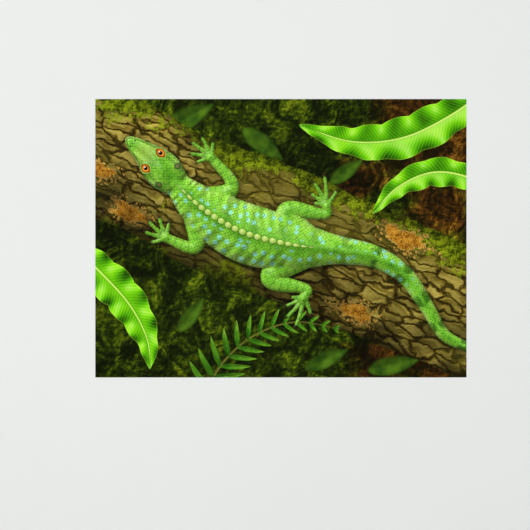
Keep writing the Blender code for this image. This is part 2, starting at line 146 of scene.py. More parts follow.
def smooth_table(table: Sequence[Point], at: Array) -> Array:
    """A table's value at each distance, on a smooth curve through its stations."""
    dense = smooth_line(table)
    return np.interp(at, dense[:, 0], dense[:, 1])


def between(grid: Array, row: Array, column: Array, ease: Callable[[Array], Array] = np.positive) -> Array:
    """A grid's values at places between its points.

    Args:
        grid: The grid.
        row: The places' rows, not rounded.
        column: Their columns.
        ease: What is done to a place's share of the way between two points.

    Returns:
        The values there.
    """
    i, j = row.astype(int), column.astype(int)
    f, g = ease(row - i), ease(column - j)
    low = grid[i, j] * (1 - g) + grid[i, j + 1] * g
    high = grid[i + 1, j] * (1 - g) + grid[i + 1, j + 1] * g
    return low * (1 - f) + high * f


def lit(*out: Array) -> tuple[Array, Array]:
    """Light and shine on a surface.

    Args:
        out: The parts of its outward direction: to the right, upwards and towards the viewer.

    Returns:
        The light, about 0.3 to 1.2, and the shine, 0 to 1.
    """
    length = np.sqrt(sum(part**2 for part in out)) + 1e-9
    facing, glint = (
        np.clip(sum(part * way for part, way in zip(out, ways)) / length, 0, 1)
        for ways in (PICTURE_LIGHT, PICTURE_SHINE)
    )
    return AMBIENT + DIFFUSE * facing, glint**SHARPNESS


class Field(Enum):
    """The vectors that the print's net carries for its inks."""

    LIZARD_MAP = "lizard_map"
    LIZARD_LIGHT = "lizard_light"
    LIZARD_MARKS = "lizard_marks"
    LIMB_MAP = "limb_map"
    TRUNK_MAP = "trunk_map"
    TRUNK_LIGHT = "trunk_light"
    BLADE_MAP = "blade_map"
    BLADE_LIGHT = "blade_light"
    FERN_MAP = "fern_map"
    FERN_LIGHT = "fern_light"
    BACK_LIGHT = "back_light"


@dataclass
class Reading:
    """What a ribbon, or a set of them, says at points of the print.

    Attributes:
        distance: How far inside the edge a point is, negative outside.
        along: How far along the ribbon, in metres.
        lateral: How far to its left.
        reach: How far from its middle line, which is more than that round its ends.
        half: Its half-width there.
        out_x: The way from its middle to the point, to the right.
        out_z: The same way, upwards.
        way_x: Its heading, to the right.
        way_z: Its heading, upwards.
    """

    distance: Array
    along: Array
    lateral: Array
    reach: Array
    half: Array
    out_x: Array
    out_z: Array
    way_x: Array
    way_z: Array

    @classmethod
    def blank(cls, shape: tuple[int, int]) -> "Reading":
        """A reading that is far outside everywhere."""
        return cls(*(np.full(shape, value) for value in (-1.0, 0.0, 0.0, 0.0, 1e-3, 0.0, 0.0, 0.0, 0.0)))

    def take(self, other: "Reading", window: tuple[slice, slice] | EllipsisType = ...) -> Array:
        """Takes another reading's values where it is further inside.

        Args:
            other: The other reading.
            window: The part of this reading that the other one covers.

        Returns:
            Where its values were taken.
        """
        where = other.distance > self.distance[window]
        for name in self.__dataclass_fields__:
            getattr(self, name)[window][where] = getattr(other, name)[where]
        return where

    @property
    def outward(self) -> Array:
        """How far out from the middle line, 0, to the edge, 1."""
        return np.clip(self.reach / np.maximum(self.half, 1e-5), 0, 1)

    def lit(self, sideways: Array, lengthways: Array | float = 0.0, out: float = 0.8) -> tuple[Array, Array]:
        """Light and shine on the ribbon.

        Args:
            sideways: How far its surface leans to its left.
            lengthways: How far it leans along it.
            out: How far it faces the viewer.

        Returns:
            The light and the shine.
        """
        return lit(self.way_x * lengthways - self.way_z * sideways,
                   self.way_z * lengthways + self.way_x * sideways, out)


@dataclass
class Ribbon:
    """A printed strip: a line and its half-width at each point of the line."""

    line: Array
    half: Array

    @property
    def length(self) -> float:
        """Its length."""
        return lengths_along(self.line)[-1]

    def box(self, margin: float) -> tuple[Array, Array]:
        """The strip's lowest and highest corners, with a margin all round."""
        reach = float(np.max(self.half)) + margin
        return self.line.min(axis=0) - reach, self.line.max(axis=0) + reach

    def read(self, x: Array, z: Array) -> Reading:
        """Reads the ribbon at points. Each step of it is as wide as two discs and the straight sides on them.

        Args:
            x: The points' places to the right.
            z: Their places upwards.

        Returns:
            The reading, with along starting at 0 at the ribbon's start.
        """
        found = Reading.blank(x.shape)
        at = lengths_along(self.line)
        steps = zip(self.line, np.diff(self.line, axis=0), at, np.diff(at), self.half, np.diff(self.half))
        for start, step, begun, length, half, growth in steps:
            way_x, way_z = step / length
            x_in, z_in = x - start[0], z - start[1]
            along = x_in * way_x + z_in * way_z
            lateral = z_in * way_x - x_in * way_z
            lean = growth / math.sqrt(max(length**2 - growth**2, length**2 * 1e-4))
            foot = np.clip(along + lean * np.abs(lateral), 0, length)
            out_x, out_z = x_in - foot * way_x, z_in - foot * way_z
            reach = np.maximum(np.hypot(out_x, out_z), 1e-9)
            here = half + growth * foot / length
            ways = (np.full(x.shape, way) for way in (way_x, way_z))
            found.take(Reading(here - reach, begun + along, lateral, reach, here, out_x / reach,
                               out_z / reach, *ways))
        return found


@dataclass(frozen=True)
class Hills:
    """Smooth random hills, from about -1 to 1.

    Attributes:
        spacing: Their spacing in metres.
        seed: The seed of the draw.
        sets: How many sets there are, each half as wide and half as high as the one before.
        lattice: How many points the draw has each way.
    """

    spacing: float
    seed: int
    sets: int = 2
    lattice: int = 96

    def read(self, x: Array, z: Array) -> Array:
        """The hills' height at points.

        Args:
            x: The points' places to the right.
            z: Their places upwards.

        Returns:
            The heights.
        """
        total, middle = np.zeros(x.shape), self.lattice / 2
        for number in range(self.sets):
            draw = np.random.default_rng(self.seed + number).uniform(-1, 1, (self.lattice, self.lattice))
            spacing = self.spacing / 2**number
            total += between(draw, z / spacing + middle, x / spacing + middle, smoothstep) / 2**number
        return total


@dataclass(frozen=True)
class Shade:
    """How a shadow is cast.

    Attributes:
        reach: How far from a place its caster is looked for.
        soft: The height over which its edge fades.
        steps: How many places are looked at.
        least: The share of the light that is left in it.
    """

    reach: float
    soft: float
    steps: int
    least: float


@dataclass
class Canvas:
    """The net of points that the picture is worked out on, over the whole print.

    Attributes:
        width: The print's width in metres.
        height: Its height.
        columns: How many cells the net has across.
        rows: How many it has upwards.
        fields: Three values to a point for each field of the picture.
    """

    width: float
    height: float
    columns: int
    rows: int
    fields: dict[Field, Array] = field(default_factory=dict)

    def __post_init__(self) -> None:
        """Lays out the net."""
        right = np.linspace(-self.width / 2, self.width / 2, self.columns + 1)
        up = np.linspace(-self.height / 2, self.height / 2, self.rows + 1)
        self.x, self.z = np.meshgrid(right, up)

    def place(self, x: Array, z: Array) -> tuple[Array, Array]:
        """The row and column, not rounded, of points in the plane."""
        return (z / self.height + 0.5) * self.rows, (x / self.width + 0.5) * self.columns

    def keep(self, name: Field, *values: Array) -> None:
        """Keeps two or three values to a point for the print's inks."""
        spare = [np.zeros(self.x.shape)] * (3 - len(values))
        self.fields[name] = np.stack([*values, *spare], axis=-1)

    def slopes(self, heights: Array) -> tuple[Array, Array]:
        """How steeply heights on the net rise to the right and upwards."""
        up, right = np.gradient(heights, self.height / self.rows, self.width / self.columns)
        return right, up

    def shifted(self, values: Array, right: float, up: float) -> Array:
        """A field's values a step away from each point, or those of its nearest edge.

        Args:
            values: The field.
            right: The step to the right, in metres.
            up: The step upwards, in metres.

        Returns:
            The values there.
        """
        row, column = self.place(self.x + right, self.z + up)
        return between(values, np.clip(row, 0, self.rows - 1e-6), np.clip(column, 0, self.columns - 1e-6))

    def hills(self, hills: Hills) -> Array:
        """The height of random hills on the net."""
        return hills.read(self.x, self.z)

    def nearest(self, ribbons: Sequence[Ribbon], margin: float = 0.06) -> tuple[Reading, Array]:
        """Reads a set of ribbons, each point from the ribbon that it is deepest in or nearest to.

        Args:
            ribbons: The ribbons.
            margin: How far beyond each one it is read.

        Returns:
            The reading, and the number of the ribbon that each point took.
        """
        found = Reading.blank(self.x.shape)
        taken = np.zeros(self.x.shape, int)
        for number, ribbon in enumerate(ribbons):
            window = self.window(ribbon, margin)
            taken[window][found.take(ribbon.read(self.x[window], self.z[window]), window)] = number
        return found, taken

    def window(self, ribbon: Ribbon, margin: float) -> tuple[slice, slice]:
        """The rows and columns that a ribbon covers, with a margin all round."""
        low, high = (self.place(*corner) for corner in ribbon.box(margin))
        return tuple(slice(max(0, math.floor(a)), max(0, math.ceil(b) + 1)) for a, b in zip(low, high))

    def shadow(self, caster: Array, shade: Shade) -> Array:
        """The share of the picture's light that a surface keeps under what stands over it.

        Args:
            caster: How high what casts the shadow stands over the surface, negative where there is none.
            shade: How the shadow is cast.

        Returns:
            The share, 1 in full light.
        """
        kept = np.ones(self.x.shape)
        for step in np.linspace(0, shade.reach, shade.steps + 1)[1:]:
            right, up, rise = PICTURE_LIGHT * step
            over = self.shifted(caster, right, up) - rise
            kept = np.minimum(kept, 1 - smoothstep(over / shade.soft))
        return shade.least + (1 - shade.least) * kept


@dataclass(frozen=True)
class Trunk:
    """The slanting trunk that carries the lizard, with lichen on it and moss along its upper side.

    Attributes:
        tilt: How far it is turned from level.
        middle: Its middle.
        half: Its half-width.
        bumps: The waves of its edges: height, rate along it and phase.
        lower_turn: How far the lower edge's waves are ahead of the upper one's.
        patches: The lichen: place along and across, half-length, half-width and phase.
        lumps: The patches' lobes: height and number.
        roundness: How far its surface turns away at its edges.
        swells: The broad swells of its surface.
        swell_height: How high they are.
        moss: Where more or less moss grows.
        stains: Where its wood is paler or darker.
    """

    tilt: float = math.radians(-24)
    middle: Point = (0.0, 0.015)
    half: float = 0.210
    bumps: Table = ((0.010, 5.3, 0.4), (0.006, 11.7, 2.1), (0.003, 23.0, 0.9))
    lower_turn: float = 1.7
    patches: Table = (
        (-0.480, -0.140, 0.060, 0.028, 0.4), (-0.620, -0.050, 0.042, 0.022, 2.2),
        (0.375, 0.150, 0.070, 0.030, 4.1), (0.330, -0.135, 0.058, 0.026, 1.3),
    )
    lumps: tuple[tuple[float, int], ...] = ((0.16, 3), (0.10, 5), (0.06, 8))
    roundness: float = 0.97
    swells: Hills = Hills(0.11, 5)
    swell_height: float = 0.022
    moss: Hills = Hills(0.16, 21, 3)
    stains: Hills = Hills(0.20, 33)

    def turned(self, x: Array, z: Array, turn: int = 1) -> tuple[Array, Array]:
        """The trunk's own directions turned to the picture's, or back again where turn is -1."""
        cos, sin = math.cos(self.tilt), math.sin(self.tilt) * turn
        return x * cos - z * sin, x * sin + z * cos

    def locate(self, points: Sequence[Point]) -> Array:
        """Points given along and across the trunk, in the picture's plane."""
        return np.stack(self.turned(*np.array(points, float).T), axis=1) + self.middle

    def edge(self, along: Array, turn: float = 0.0) -> Array:
        """The half-width along one of the trunk's edges."""
        return self.half + sum(size * np.sin(rate * along + phase + turn) for size, rate, phase in self.bumps)

    def lichen(self, along: Array, across: Array) -> Array:
        """How far inside a lichen patch a point is.

        Args:
            along: How far along the trunk the point is.
            across: How far across it.

        Returns:
            The distance in metres, negative outside.
        """
        deepest = np.full(along.shape, -1.0)
        for u, v, long, short, phase in self.patches:
            right, up = (along - u) / long, (across - v) / short
            turn = np.arctan2(up, right)
            swell = 1 + sum(size * np.sin(count * turn + phase * count) for size, count in self.lumps)
            deepest = np.maximum(deepest, (swell - np.hypot(right, up)) * short)
        return deepest

    def draw(self, canvas: Canvas, shade: Array) -> None:
        """Works out the trunk's fields.

        Args:
            canvas: The print's net.
            shade: The share of the light that reaches the trunk.
        """
        along, across = self.turned(canvas.x - self.middle[0], canvas.z - self.middle[1], -1)
        upper, lower = self.edge(along), self.edge(along, self.lower_turn)
        turn = np.clip((across - (upper - lower) / 2) / ((upper + lower) / 2), -1, 1) * self.roundness
        out = np.sqrt(1 - turn**2)
        right, up = self.turned(0.0, turn)
        slope_x, slope_z = canvas.slopes(canvas.hills(self.swells) * self.swell_height)
        light, _ = lit(right - slope_x, up - slope_z, out)
        # Painted shade: the trunk is darker towards both its edges, where its round surface turns away
        edge_shade = 0.45 + 0.55 * smoothstep(out, 0.10, 0.75)
        moss = smoothstep(across / self.half, 0.25, 1.05) + 0.55 * smoothstep(-across / self.half, 0.72, 1.1)
        moss += 0.42 * canvas.hills(self.moss)
        distance = np.minimum(upper - across, across + lower)
        canvas.keep(Field.TRUNK_MAP, distance, self.lichen(along, across), moss)
        canvas.keep(Field.TRUNK_LIGHT, light * shade * edge_shade, canvas.hills(self.stains))


class Part(Enum):
    """What a ribbon of the lizard is."""

    BODY = "body"
    LEG = "leg"
    TOE = "toe"


@dataclass(frozen=True)
class Limb:
    """A leg of the lizard.

    Attributes:
        root: How far along the body it leaves.
        side: 1 on the lizard's right, -1 on its left.
        joints: Its joints, as steps forward and outward from the root.
        girth: Its half-width at each joint.
        toes: The toes' lengths.
        fan: The toes' angles from straight ahead, in degrees.
    """

    root: float
    side: int
    joints: tuple[Point, ...]
    girth: tuple[float, ...]
    toes: tuple[float, ...]
    fan: tuple[float, ...]


@dataclass(frozen=True)
class Lizard:
    """The lizard, seen from above and heading up the trunk.

    Attributes:
        line: Its midline, along and across the trunk.
        widths: Its half-width at distances along the midline.
        crest_grows: How far from each end the crest takes to reach its full width.
        crest_notch: A tooth's least half-width, as a share of its greatest.
        crest_peak: Where along a tooth its greatest half-width is.
        crest_foot: How far beyond the teeth the crest's painted shadow reaches, along its foot.
        turret: An eye turret's height, its place in from the eye's middle, and its reach along and out.
        knobs: The low forms of its head: height, place along and out, and their reach along and out.
        fold_height: How high the neck's folds are.
        fold_step: How far apart they are.
        ridge_height: How high the ridge along its back is.
        ridge_half: How far the ridge reaches to each side.
        rib_height: How high the ribs are.
        rib_step: How far apart they are.
        toe_shape: A toe's share of its length, its bend and its swell.
        roundness: How far its surface turns away at its edges.
        facing: How far even its edges face the viewer.
        fall: How steeply a part's height falls outside its edge.
        lowest: How high even its edges stand over the trunk.
        blend: The height over which its parts run into each other.
    """

    line: tuple[Point, ...] = (
        (-0.585, 0.078), (-0.498, 0.054), (-0.385, 0.012), (-0.272, -0.028), (-0.122, -0.046),
        (0.040, -0.020), (0.202, 0.030), (0.315, 0.056), (0.430, 0.040), (0.535, -0.024),
        (0.625, -0.085), (0.720, -0.092),
    )
    widths: tuple[Point, ...] = (
        (0.000, 0.003), (0.007, 0.015), (0.027, 0.0245), (0.069, 0.037), (0.110, 0.051),
        (0.155, 0.061), (0.195, 0.051), (0.232, 0.044), (0.306, 0.064), (0.412, 0.088),
        (0.525, 0.099), (0.625, 0.087), (0.712, 0.068), (0.825, 0.045), (1.125, 0.026), (1.500, 0.012),
    )
    turret: tuple[float, ...] = (0.012, 0.004, 0.020, 0.016)
    knobs: Table = (
        (0.006, 0.062, 0.024, 0.034, 0.007), (0.010, 0.150, 0.0, 0.034, 0.026),
        (0.008, 0.168, 0.046, 0.022, 0.016), (-0.007, 0.226, 0.038, 0.010, 0.030),
    )
    fold_height: float = 0.0022
    fold_step: float = 0.0170
    ridge_height: float = 0.007
    ridge_half: float = 0.013
    rib_height: float = 0.0016
    rib_step: float = 0.034
    neck_at: float = 0.226
    shoulder_at: float = 0.308
    hip_at: float = 0.715
    crest_from: float = 0.188
    crest_to: float = 0.762
    crest_half: float = 0.0094
    crest_teeth: int = 22
    crest_grows: float = 0.18
    crest_notch: float = 0.34
    crest_peak: float = 0.34
    crest_foot: float = 0.0045
    eye_at: float = 0.108
    eye_across: float = 0.70
    eye_radius: float = 0.0144
    pupil_radius: float = 0.0068
    toe_root: float = 0.0074
    toe_tip: float = 0.0030
    toe_shape: Table = (
        (0.00, 0.000, 1.00), (0.22, 0.012, 0.72), (0.42, 0.018, 0.92), (0.62, 0.014, 0.46),
        (0.78, 0.002, 0.62), (0.90, -0.020, 0.10), (1.00, -0.060, -0.45),
    )
    palm_swell: float = 1.12
    flatness: float = 0.80
    roundness: float = 0.96
    facing: float = 0.2
    fall: float = 3.0
    lowest: float = 0.003
    blend: float = 0.005

    @property
    def limbs(self) -> list[Limb]:
        """The four legs."""
        front = ((0.034, 0.028, 0.020, 0.0145),
                 (0.056, 0.078, 0.090, 0.082, 0.058), (-60, -30, -2, 26, 58))
        hind = ((0.049, 0.040, 0.029, 0.0165, 0.0145),
                (0.048, 0.074, 0.098, 0.112, 0.066), (6, 32, 56, 80, 118))
        front_right = (0, 0.024), (-0.055, 0.096), (-0.034, 0.132), (0.062, 0.146)
        front_left = (0, 0.024), (-0.080, 0.090), (-0.078, 0.124), (0.002, 0.150)
        hind_right = (0, 0.014), (0.082, 0.084), (0.070, 0.116), (-0.036, 0.112), (-0.040, 0.140)
        hind_left = (0, 0.014), (0.106, 0.090), (0.104, 0.126), (0.000, 0.138), (0.002, 0.166)
        return [
            Limb(self.shoulder_at, 1, front_right, *front), Limb(self.shoulder_at, -1, front_left, *front),
            Limb(self.hip_at, 1, hind_right, *hind), Limb(self.hip_at, -1, hind_left, *hind),
        ]

    @property
    def eye_out(self) -> float:
        """How far an eye's middle is from the spine."""
        return float(smooth_table(self.widths, self.eye_at)) * self.eye_across

    def spine(self, trunk: Trunk) -> Array:
        """The line from snout to tail in the picture's plane."""
        return trunk.locate(smooth_line(self.line, 30))

    def eyes(self, spine: Array) -> list[Array]:
        """The middles of the two eyes, placed from the line from snout to tail."""
        middle, way = point_at(spine, self.eye_at)
        return [middle + side * self.eye_out * np.array([-way[1], way[0]]) for side in (1, -1)]

    def leg(self, spine: Array, limb: Limb) -> list[tuple[Ribbon, Part]]:
        """A leg's ribbons, placed from the spine: the leg, its palm and its toes.

        Args:
            spine: The line from snout to tail.
            limb: The leg.

        Returns:
            The ribbons, and what each one is.
        """
        root, back = point_at(spine, limb.root)
        forward = -back
        outward = np.array([forward[1], -forward[0]]) * limb.side
        spans = 5
        line = smooth_line([root + f * forward + o * outward for f, o in limb.joints], spans)
        at = lengths_along(line)
        ankle, palm = line[-1], self.palm_swell * limb.girth[-1]
        pad = Ribbon(np.array([ankle, ankle + 0.001 * forward]), np.array([palm, palm]))
        strips = [(Ribbon(line, np.interp(at, at[::spans], limb.girth)), Part.LEG), (pad, Part.LEG)]
        shares, bends, swells = np.array(self.toe_shape).T
        for length, angle in zip(limb.toes, np.radians(limb.fan)):
            way = forward * math.cos(angle) + outward * math.sin(angle)
            aside = limb.side * np.array([way[1], -way[0]])
            points = ankle + length * (np.outer(shares, way) + np.outer(bends, aside))
            toe = Ribbon(points, self.toe_tip + (self.toe_root - self.toe_tip) * swells)
            strips.append((toe, Part.TOE))
        return strips

    def swellings(self, along: Array, lateral: Array) -> Array:
        """The low forms on the head and back: eye turrets, brows, cheeks, neck folds, spine and ribs.

        Args:
            along: How far along the body a point is.
            lateral: How far from the spine.

        Returns:
            Their height in metres.
        """
        spread = np.abs(lateral)
        rise, inwards, *reach = self.turret
        turret = (rise, self.eye_at, self.eye_out - inwards, *reach)
        height = sum(
            rise * np.exp(-(((along - at) / long) ** 2) - ((spread - out) / wide) ** 2)
            for rise, at, out, long, wide in (turret, *self.knobs)
        )
        neck = np.exp(-(((along - self.neck_at - 0.025) / 0.030) ** 2)) * smoothstep(spread, 0.012, 0.030)
        height += self.fold_height * neck * np.sin(2 * math.pi * along / self.fold_step)
        back = smoothstep(along, self.neck_at - 0.03, self.neck_at + 0.03)
        height += self.ridge_height * back * np.exp(-((spread / self.ridge_half) ** 2))
        flank = back * smoothstep(along, 0.70, 0.60) * smoothstep(spread, 0.022, 0.050)
        return height + self.rib_height * flank * np.sin(2 * math.pi * (along + 0.4 * spread) / self.rib_step)

    def draw(self, canvas: Canvas, trunk: Trunk, shade: Callable[[Array], Array]) -> Array:
        """Works out the lizard's fields.

        Args:
            canvas: The print's net.
            trunk: The trunk that carries it.
            shade: Gives the share of the light that reaches a height.

        Returns:
            The lizard's height over the trunk, or -1 where it isn't.
        """
        shape = canvas.x.shape
        spine = self.spine(trunk)
        body = Ribbon(spine, smooth_table(self.widths, lengths_along(spine)))
        whole = body.read(canvas.x, canvas.z)
        strips = [(body, Part.BODY)] + [strip for limb in self.limbs for strip in self.leg(spine, limb)]
        best = Reading.blank(shape)
        weight, sums = np.zeros(shape), np.zeros((5, *shape))
        claw, legs_only = np.zeros(shape), np.full(shape, -1.0)
        for strip, part in strips:
            window = ... if part is Part.BODY else canvas.window(strip, 0.05)
            here = whole if part is Part.BODY else strip.read(canvas.x[window], canvas.z[window])
            turn = here.outward * self.roundness
            rise = np.sqrt(1 - turn**2) * self.flatness
            height = here.half * rise + self.fall * np.minimum(here.distance, 0)
            pull = np.exp(np.clip(height / self.blend, -60, 60))
            weight[window] += pull
            limb = float(part is not Part.BODY)
            values = (turn * here.out_x, turn * here.out_z, rise + self.facing, height, limb)
            for total, value in zip(sums, values):
                total[window] += pull * value
            best.take(here, window)
            if part is Part.LEG:
                legs_only[window] = np.maximum(legs_only[window], here.distance)
            if part is Part.TOE:
                tip = smoothstep(here.along / strip.length, 0.80, 0.90) * (here.distance > -self.toe_root)
                claw[window] = np.maximum(claw[window], tip)
        out_x, out_z, out_y, height, limbs = sums / weight
        slope_x, slope_z = canvas.slopes(self.swellings(whole.along, whole.lateral) * (1 - limbs))
        light, shine = lit(out_x - slope_x, out_z - slope_z, out_y)
        light *= 0.62 + 0.38 * smoothstep(best.distance, -0.001, 0.010)
        light *= shade(np.where(best.distance > 0, np.maximum(height, 0), 0.0))
        claw *= (legs_only < -self.toe_tip) * (whole.distance < 0)
        canvas.keep(Field.LIZARD_MAP, best.distance, whole.along, whole.lateral)
        canvas.keep(Field.LIZARD_LIGHT, light, shine, limbs)
        canvas.keep(Field.LIZARD_MARKS, claw, whole.outward)
        canvas.keep(Field.LIMB_MAP, best.along, best.outward)
        return np.where(best.distance > 0, np.maximum(height, self.lowest), -1.0)


@dataclass(frozen=True)
class Blade:
    """A strap leaf.

    Attributes:
        line: Its midline, from its root to its tip.
        half: Its greatest half-width.
        wave: How wavy its margin is.
        waves: How many waves it has.
        height: How far in front of the trunk it stands.
    """

    line: tuple[Point, ...]
    half: float
    wave: float
    waves: float
    height: float


@dataclass(frozen=True)
class Blades:
    """The bright strap leaves in front.

    Attributes:
        leaves: The leaves.
        widest: How far along a leaf its greatest width is, as a share.
        ripple: How high the ripples along its margins are.
        nibble: How uneven its margins are.
        nibbles: Where they are uneven.
    """

    leaves: tuple[Blade, ...] = (
        Blade(((0.690, 0.500), (0.560, 0.405), (0.400, 0.330), (0.230, 0.318), (0.060, 0.372)),
              0.066, 0.060, 6.5, 0.10),
        Blade(((0.700, 0.150), (0.600, 0.205), (0.490, 0.215), (0.380, 0.165), (0.300, 0.080)),
              0.046, 0.080, 5.5, 0.07),
        Blade(((-0.690, -0.020), (-0.600, -0.105), (-0.500, -0.215), (-0.440, -0.330), (-0.430, -0.430)),
              0.062, 0.070, 6.0, 0.10),
    )
    widest: float = 0.42
    ripple: float = 0.0085
    nibble: float = 0.0016
    nibbles: Hills = Hills(0.030, 41)

    def strip(self, blade: Blade) -> Ribbon:
        """A leaf's ribbon, with its wavy margin.

        Args:
            blade: The leaf.

        Returns:
            The ribbon, from its root to its tip.
        """
        line = smooth_line(blade.line, 40)
        share = lengths_along(line) / lengths_along(line)[-1]
        swell = np.sin(math.pi * share ** (math.log(0.5) / math.log(self.widest))) ** 0.75
        halves = blade.half * swell * (1 + blade.wave * np.sin(2 * math.pi * blade.waves * share))
        return Ribbon(line, np.maximum(halves, THINNEST))

    def draw(self, canvas: Canvas) -> Array:
        """Works out the leaves' fields.

        Args:
            canvas: The print's net.

        Returns:
            The leaves' height over the trunk, or -1 where there is none.
        """
        strips = [self.strip(blade) for blade in self.leaves]
        found, taken = canvas.nearest(strips)
        total = np.array([strip.length for strip in strips])[taken]
        waves = np.array([blade.waves for blade in self.leaves])[taken]
        stand = np.array([blade.height for blade in self.leaves])[taken]
        found.distance += self.nibble * canvas.hills(self.nibbles)
        share = found.along / total
        side, away = np.sign(found.lateral), found.outward
        turn = 2 * math.pi * waves * share + 0.9 * side
        sideways = side * (-0.34 + 0.62 * away**2) - 0.55 * side * np.sin(turn) * away
        lengthways = -self.ripple * away**1.6 * np.cos(turn) * 3 * math.pi * waves / total
        canvas.keep(Field.BLADE_MAP, found.distance, found.along, found.lateral)
        canvas.keep(Field.BLADE_LIGHT, *found.lit(sideways, lengthways), share)
        return np.where(found.distance > 0, stand, -1.0)


@dataclass(frozen=True)
class Fern:
    """The fern frond at the foot of the picture.

    Attributes:
        line: Its stem, from root to tip.
        stem_half: The stem's half-width at its root.
        leaflets: How many pairs of leaflets it has.
        longest: The length of its longest leaflets.
        leaflet_half: Their half-width.
        sweep: The angle at which they leave the stem.
    """

    line: tuple[Point, ...] = (
        (-0.270, -0.560), (-0.200, -0.420), (-0.090, -0.320), (0.050, -0.275), (0.200, -0.300),
    )
    stem_half: float = 0.0042
    leaflets: int = 13
    longest: float = 0.105
    leaflet_half: float = 0.0105
    sweep: float = math.radians(62)

    def strips(self) -> list[Ribbon]:
        """The stem, then the leaflets in pairs."""
        line = smooth_line(self.line)
        at = lengths_along(line)
        found = [Ribbon(line, self.stem_half * (1 - 0.7 * at / at[-1]))]
        for share in np.linspace(0, 1, self.leaflets):
            root, way = point_at(line, (0.12 + 0.84 * share) * at[-1])
            length = self.longest * (1 - 0.80 * share**1.3)
            half = self.leaflet_half * (1 - 0.55 * share)
            for side in (1, -1):
                angle = side * (self.sweep - 0.35 * share)
                turned = way * math.cos(angle) + np.array([-way[1], way[0]]) * math.sin(angle)
                out = np.outer([0.0, 0.3, 0.7, 1.0], turned) + np.outer([0.0, 0.0, 0.03, 0.09], way)
                found.append(Ribbon(root + length * out, half * np.array([0.5, 1.0, 0.75, 0.08])))
        return found

    def draw(self, canvas: Canvas) -> None:
        """Works out the fern's fields.

        Args:
            canvas: The print's net.
        """
        strips = self.strips()
        found, taken = canvas.nearest(strips, 0.03)
        share = found.along / np.array([strip.length for strip in strips])[taken]
        sideways = -0.55 * np.sign(found.lateral) * (1 - 0.6 * found.outward)
        light, _ = found.lit(sideways, 0.45 * (share - 0.4))
        # Painted shade: the frond is darker towards its left part
        tone = 0.72 + 0.28 * smoothstep(canvas.x, -0.30, 0.15)
        canvas.keep(Field.FERN_MAP, found.distance, share, found.outward)
        canvas.keep(Field.FERN_LIGHT, light * tone, taken > 0)


@dataclass(frozen=True)
class Backdrop:
    """What is far behind: soft leaves, out of focus, before a dark mossy bank.

    Attributes:
        leaves: The leaves' middles, half-lengths, half-widths and tilts in degrees.
        blur: How soft their edges are.
        clouds: Where the bank is lighter or darker.
        bare: Where its soil shows.
    """

    leaves: Table = (
        (-0.310, 0.395, 0.100, 0.036, 28), (-0.060, 0.310, 0.080, 0.030, -38),
        (0.215, 0.222, 0.066, 0.024, 36), (0.150, -0.395, 0.076, 0.027, 24),
        (0.370, -0.415, 0.084, 0.030, 12), (-0.295, -0.250, 0.066, 0.025, 52),
    )
    blur: float = 0.0096
    clouds: Hills = Hills(0.26, 11)
    bare: Hills = Hills(0.22, 17)

    def draw(self, canvas: Canvas) -> None:
        """Works out the backdrop's fields.

        Args:
            canvas: The print's net.
        """
        share = np.linspace(0, 1, 17)
        strips = []
        for x, z, long, short, tilt in self.leaves:
            way = [math.cos(math.radians(tilt)), math.sin(math.radians(tilt))]
            halves = np.maximum(short * np.sin(math.pi * share**0.8) ** 0.9, THINNEST)
            strips.append(Ribbon(np.outer((2 * share - 1) * long, way) + (x, z), halves))
        found, _ = canvas.nearest(strips)
        light, _ = found.lit(-0.38 * np.tanh(found.lateral / 0.004))
        # Painted light on the bank: brighter towards the top, and lighter or darker in broad patches
        tone = 0.80 + 0.34 * canvas.hills(self.clouds) + 0.18 * smoothstep(canvas.z, -0.1, 0.45)
        earth = smoothstep(canvas.x, -0.05, 0.62) * 0.75 + 0.6 * canvas.hills(self.bare)
        # Painted light: each far leaf's cover times its light, so the half turned from the light is darker
        # and shows less
        leaf = smoothstep(found.distance, -self.blur, self.blur) * light
        canvas.keep(Field.BACK_LIGHT, np.clip(tone, 0.25, 1.4), earth, leaf)


@dataclass(frozen=True)
class Picture:
    """The whole picture on the print, with the shadows of the leaves in front and of the lizard.

    Its contact shadow field gives where the painted shadow round the lizard starts and is full, inwards from
    its edge.
    """

    trunk: Trunk = Trunk()
    lizard: Lizard = Lizard()
    blades: Blades = Blades()
    fern: Fern = Fern()
    backdrop: Backdrop = Backdrop()
    leaf_shade: Shade = Shade(0.16, 0.03, 22, 0.45)
    lizard_shade: Shade = Shade(0.11, 0.012, 36, 0.20)
    contact_shadow: Point = (-0.022, 0.004)

    def draw(self, canvas: Canvas) -> None:
        """Works out every field of the picture, from what is nearest to what is furthest.

        Args:
            canvas: The print's net.
        """
        leaves = self.blades.draw(canvas)

        def let_through(height: Array | float) -> Array:
            """The light that the leaves in front let through to a height over the trunk."""
            return canvas.shadow(leaves - height, self.leaf_shade)

        lizard = self.lizard.draw(canvas, self.trunk, let_through)
        # Painted contact shadow: the trunk is darker next to the lizard's outline
        contact_shade = smoothstep(canvas.fields[Field.LIZARD_MAP][..., 0], *self.contact_shadow)
        shade = let_through(0.0) * canvas.shadow(lizard, self.lizard_shade) * (1 - 0.50 * contact_shade)
        self.trunk.draw(canvas, shade)
        self.fern.draw(canvas)
        self.backdrop.draw(canvas)


class Function(Enum):
    """What can be done to a number in a material."""

    SINE = "SINE"
    COSINE = "COSINE"
    FRACTION = "FRACT"
    SIZE = "ABSOLUTE"


class Origin(Enum):
    """What distances in a pattern of cells are measured from."""

    MIDDLE = "F1"
    EDGE = "DISTANCE_TO_EDGE"


@dataclass(frozen=True)
class Grain:
    """A noise.

    Attributes:
        scale: Its features to a metre.
        detail: How many finer sets it has.
        rough: How strong the finer ones are.
        warp: How much it is distorted.
    """

    scale: float
    detail: float = 3.0
    rough: float = 0.5
    warp: float = 0.0


@dataclass(frozen=True)
class Cells:
    """A flat pattern of cells.

    Attributes:
        scale: Its cells to a metre.
        loose: How irregular they are.
        origin: What distances in it are measured from.
    """

    scale: float
    loose: float = 1.0
    origin: Origin = Origin.MIDDLE


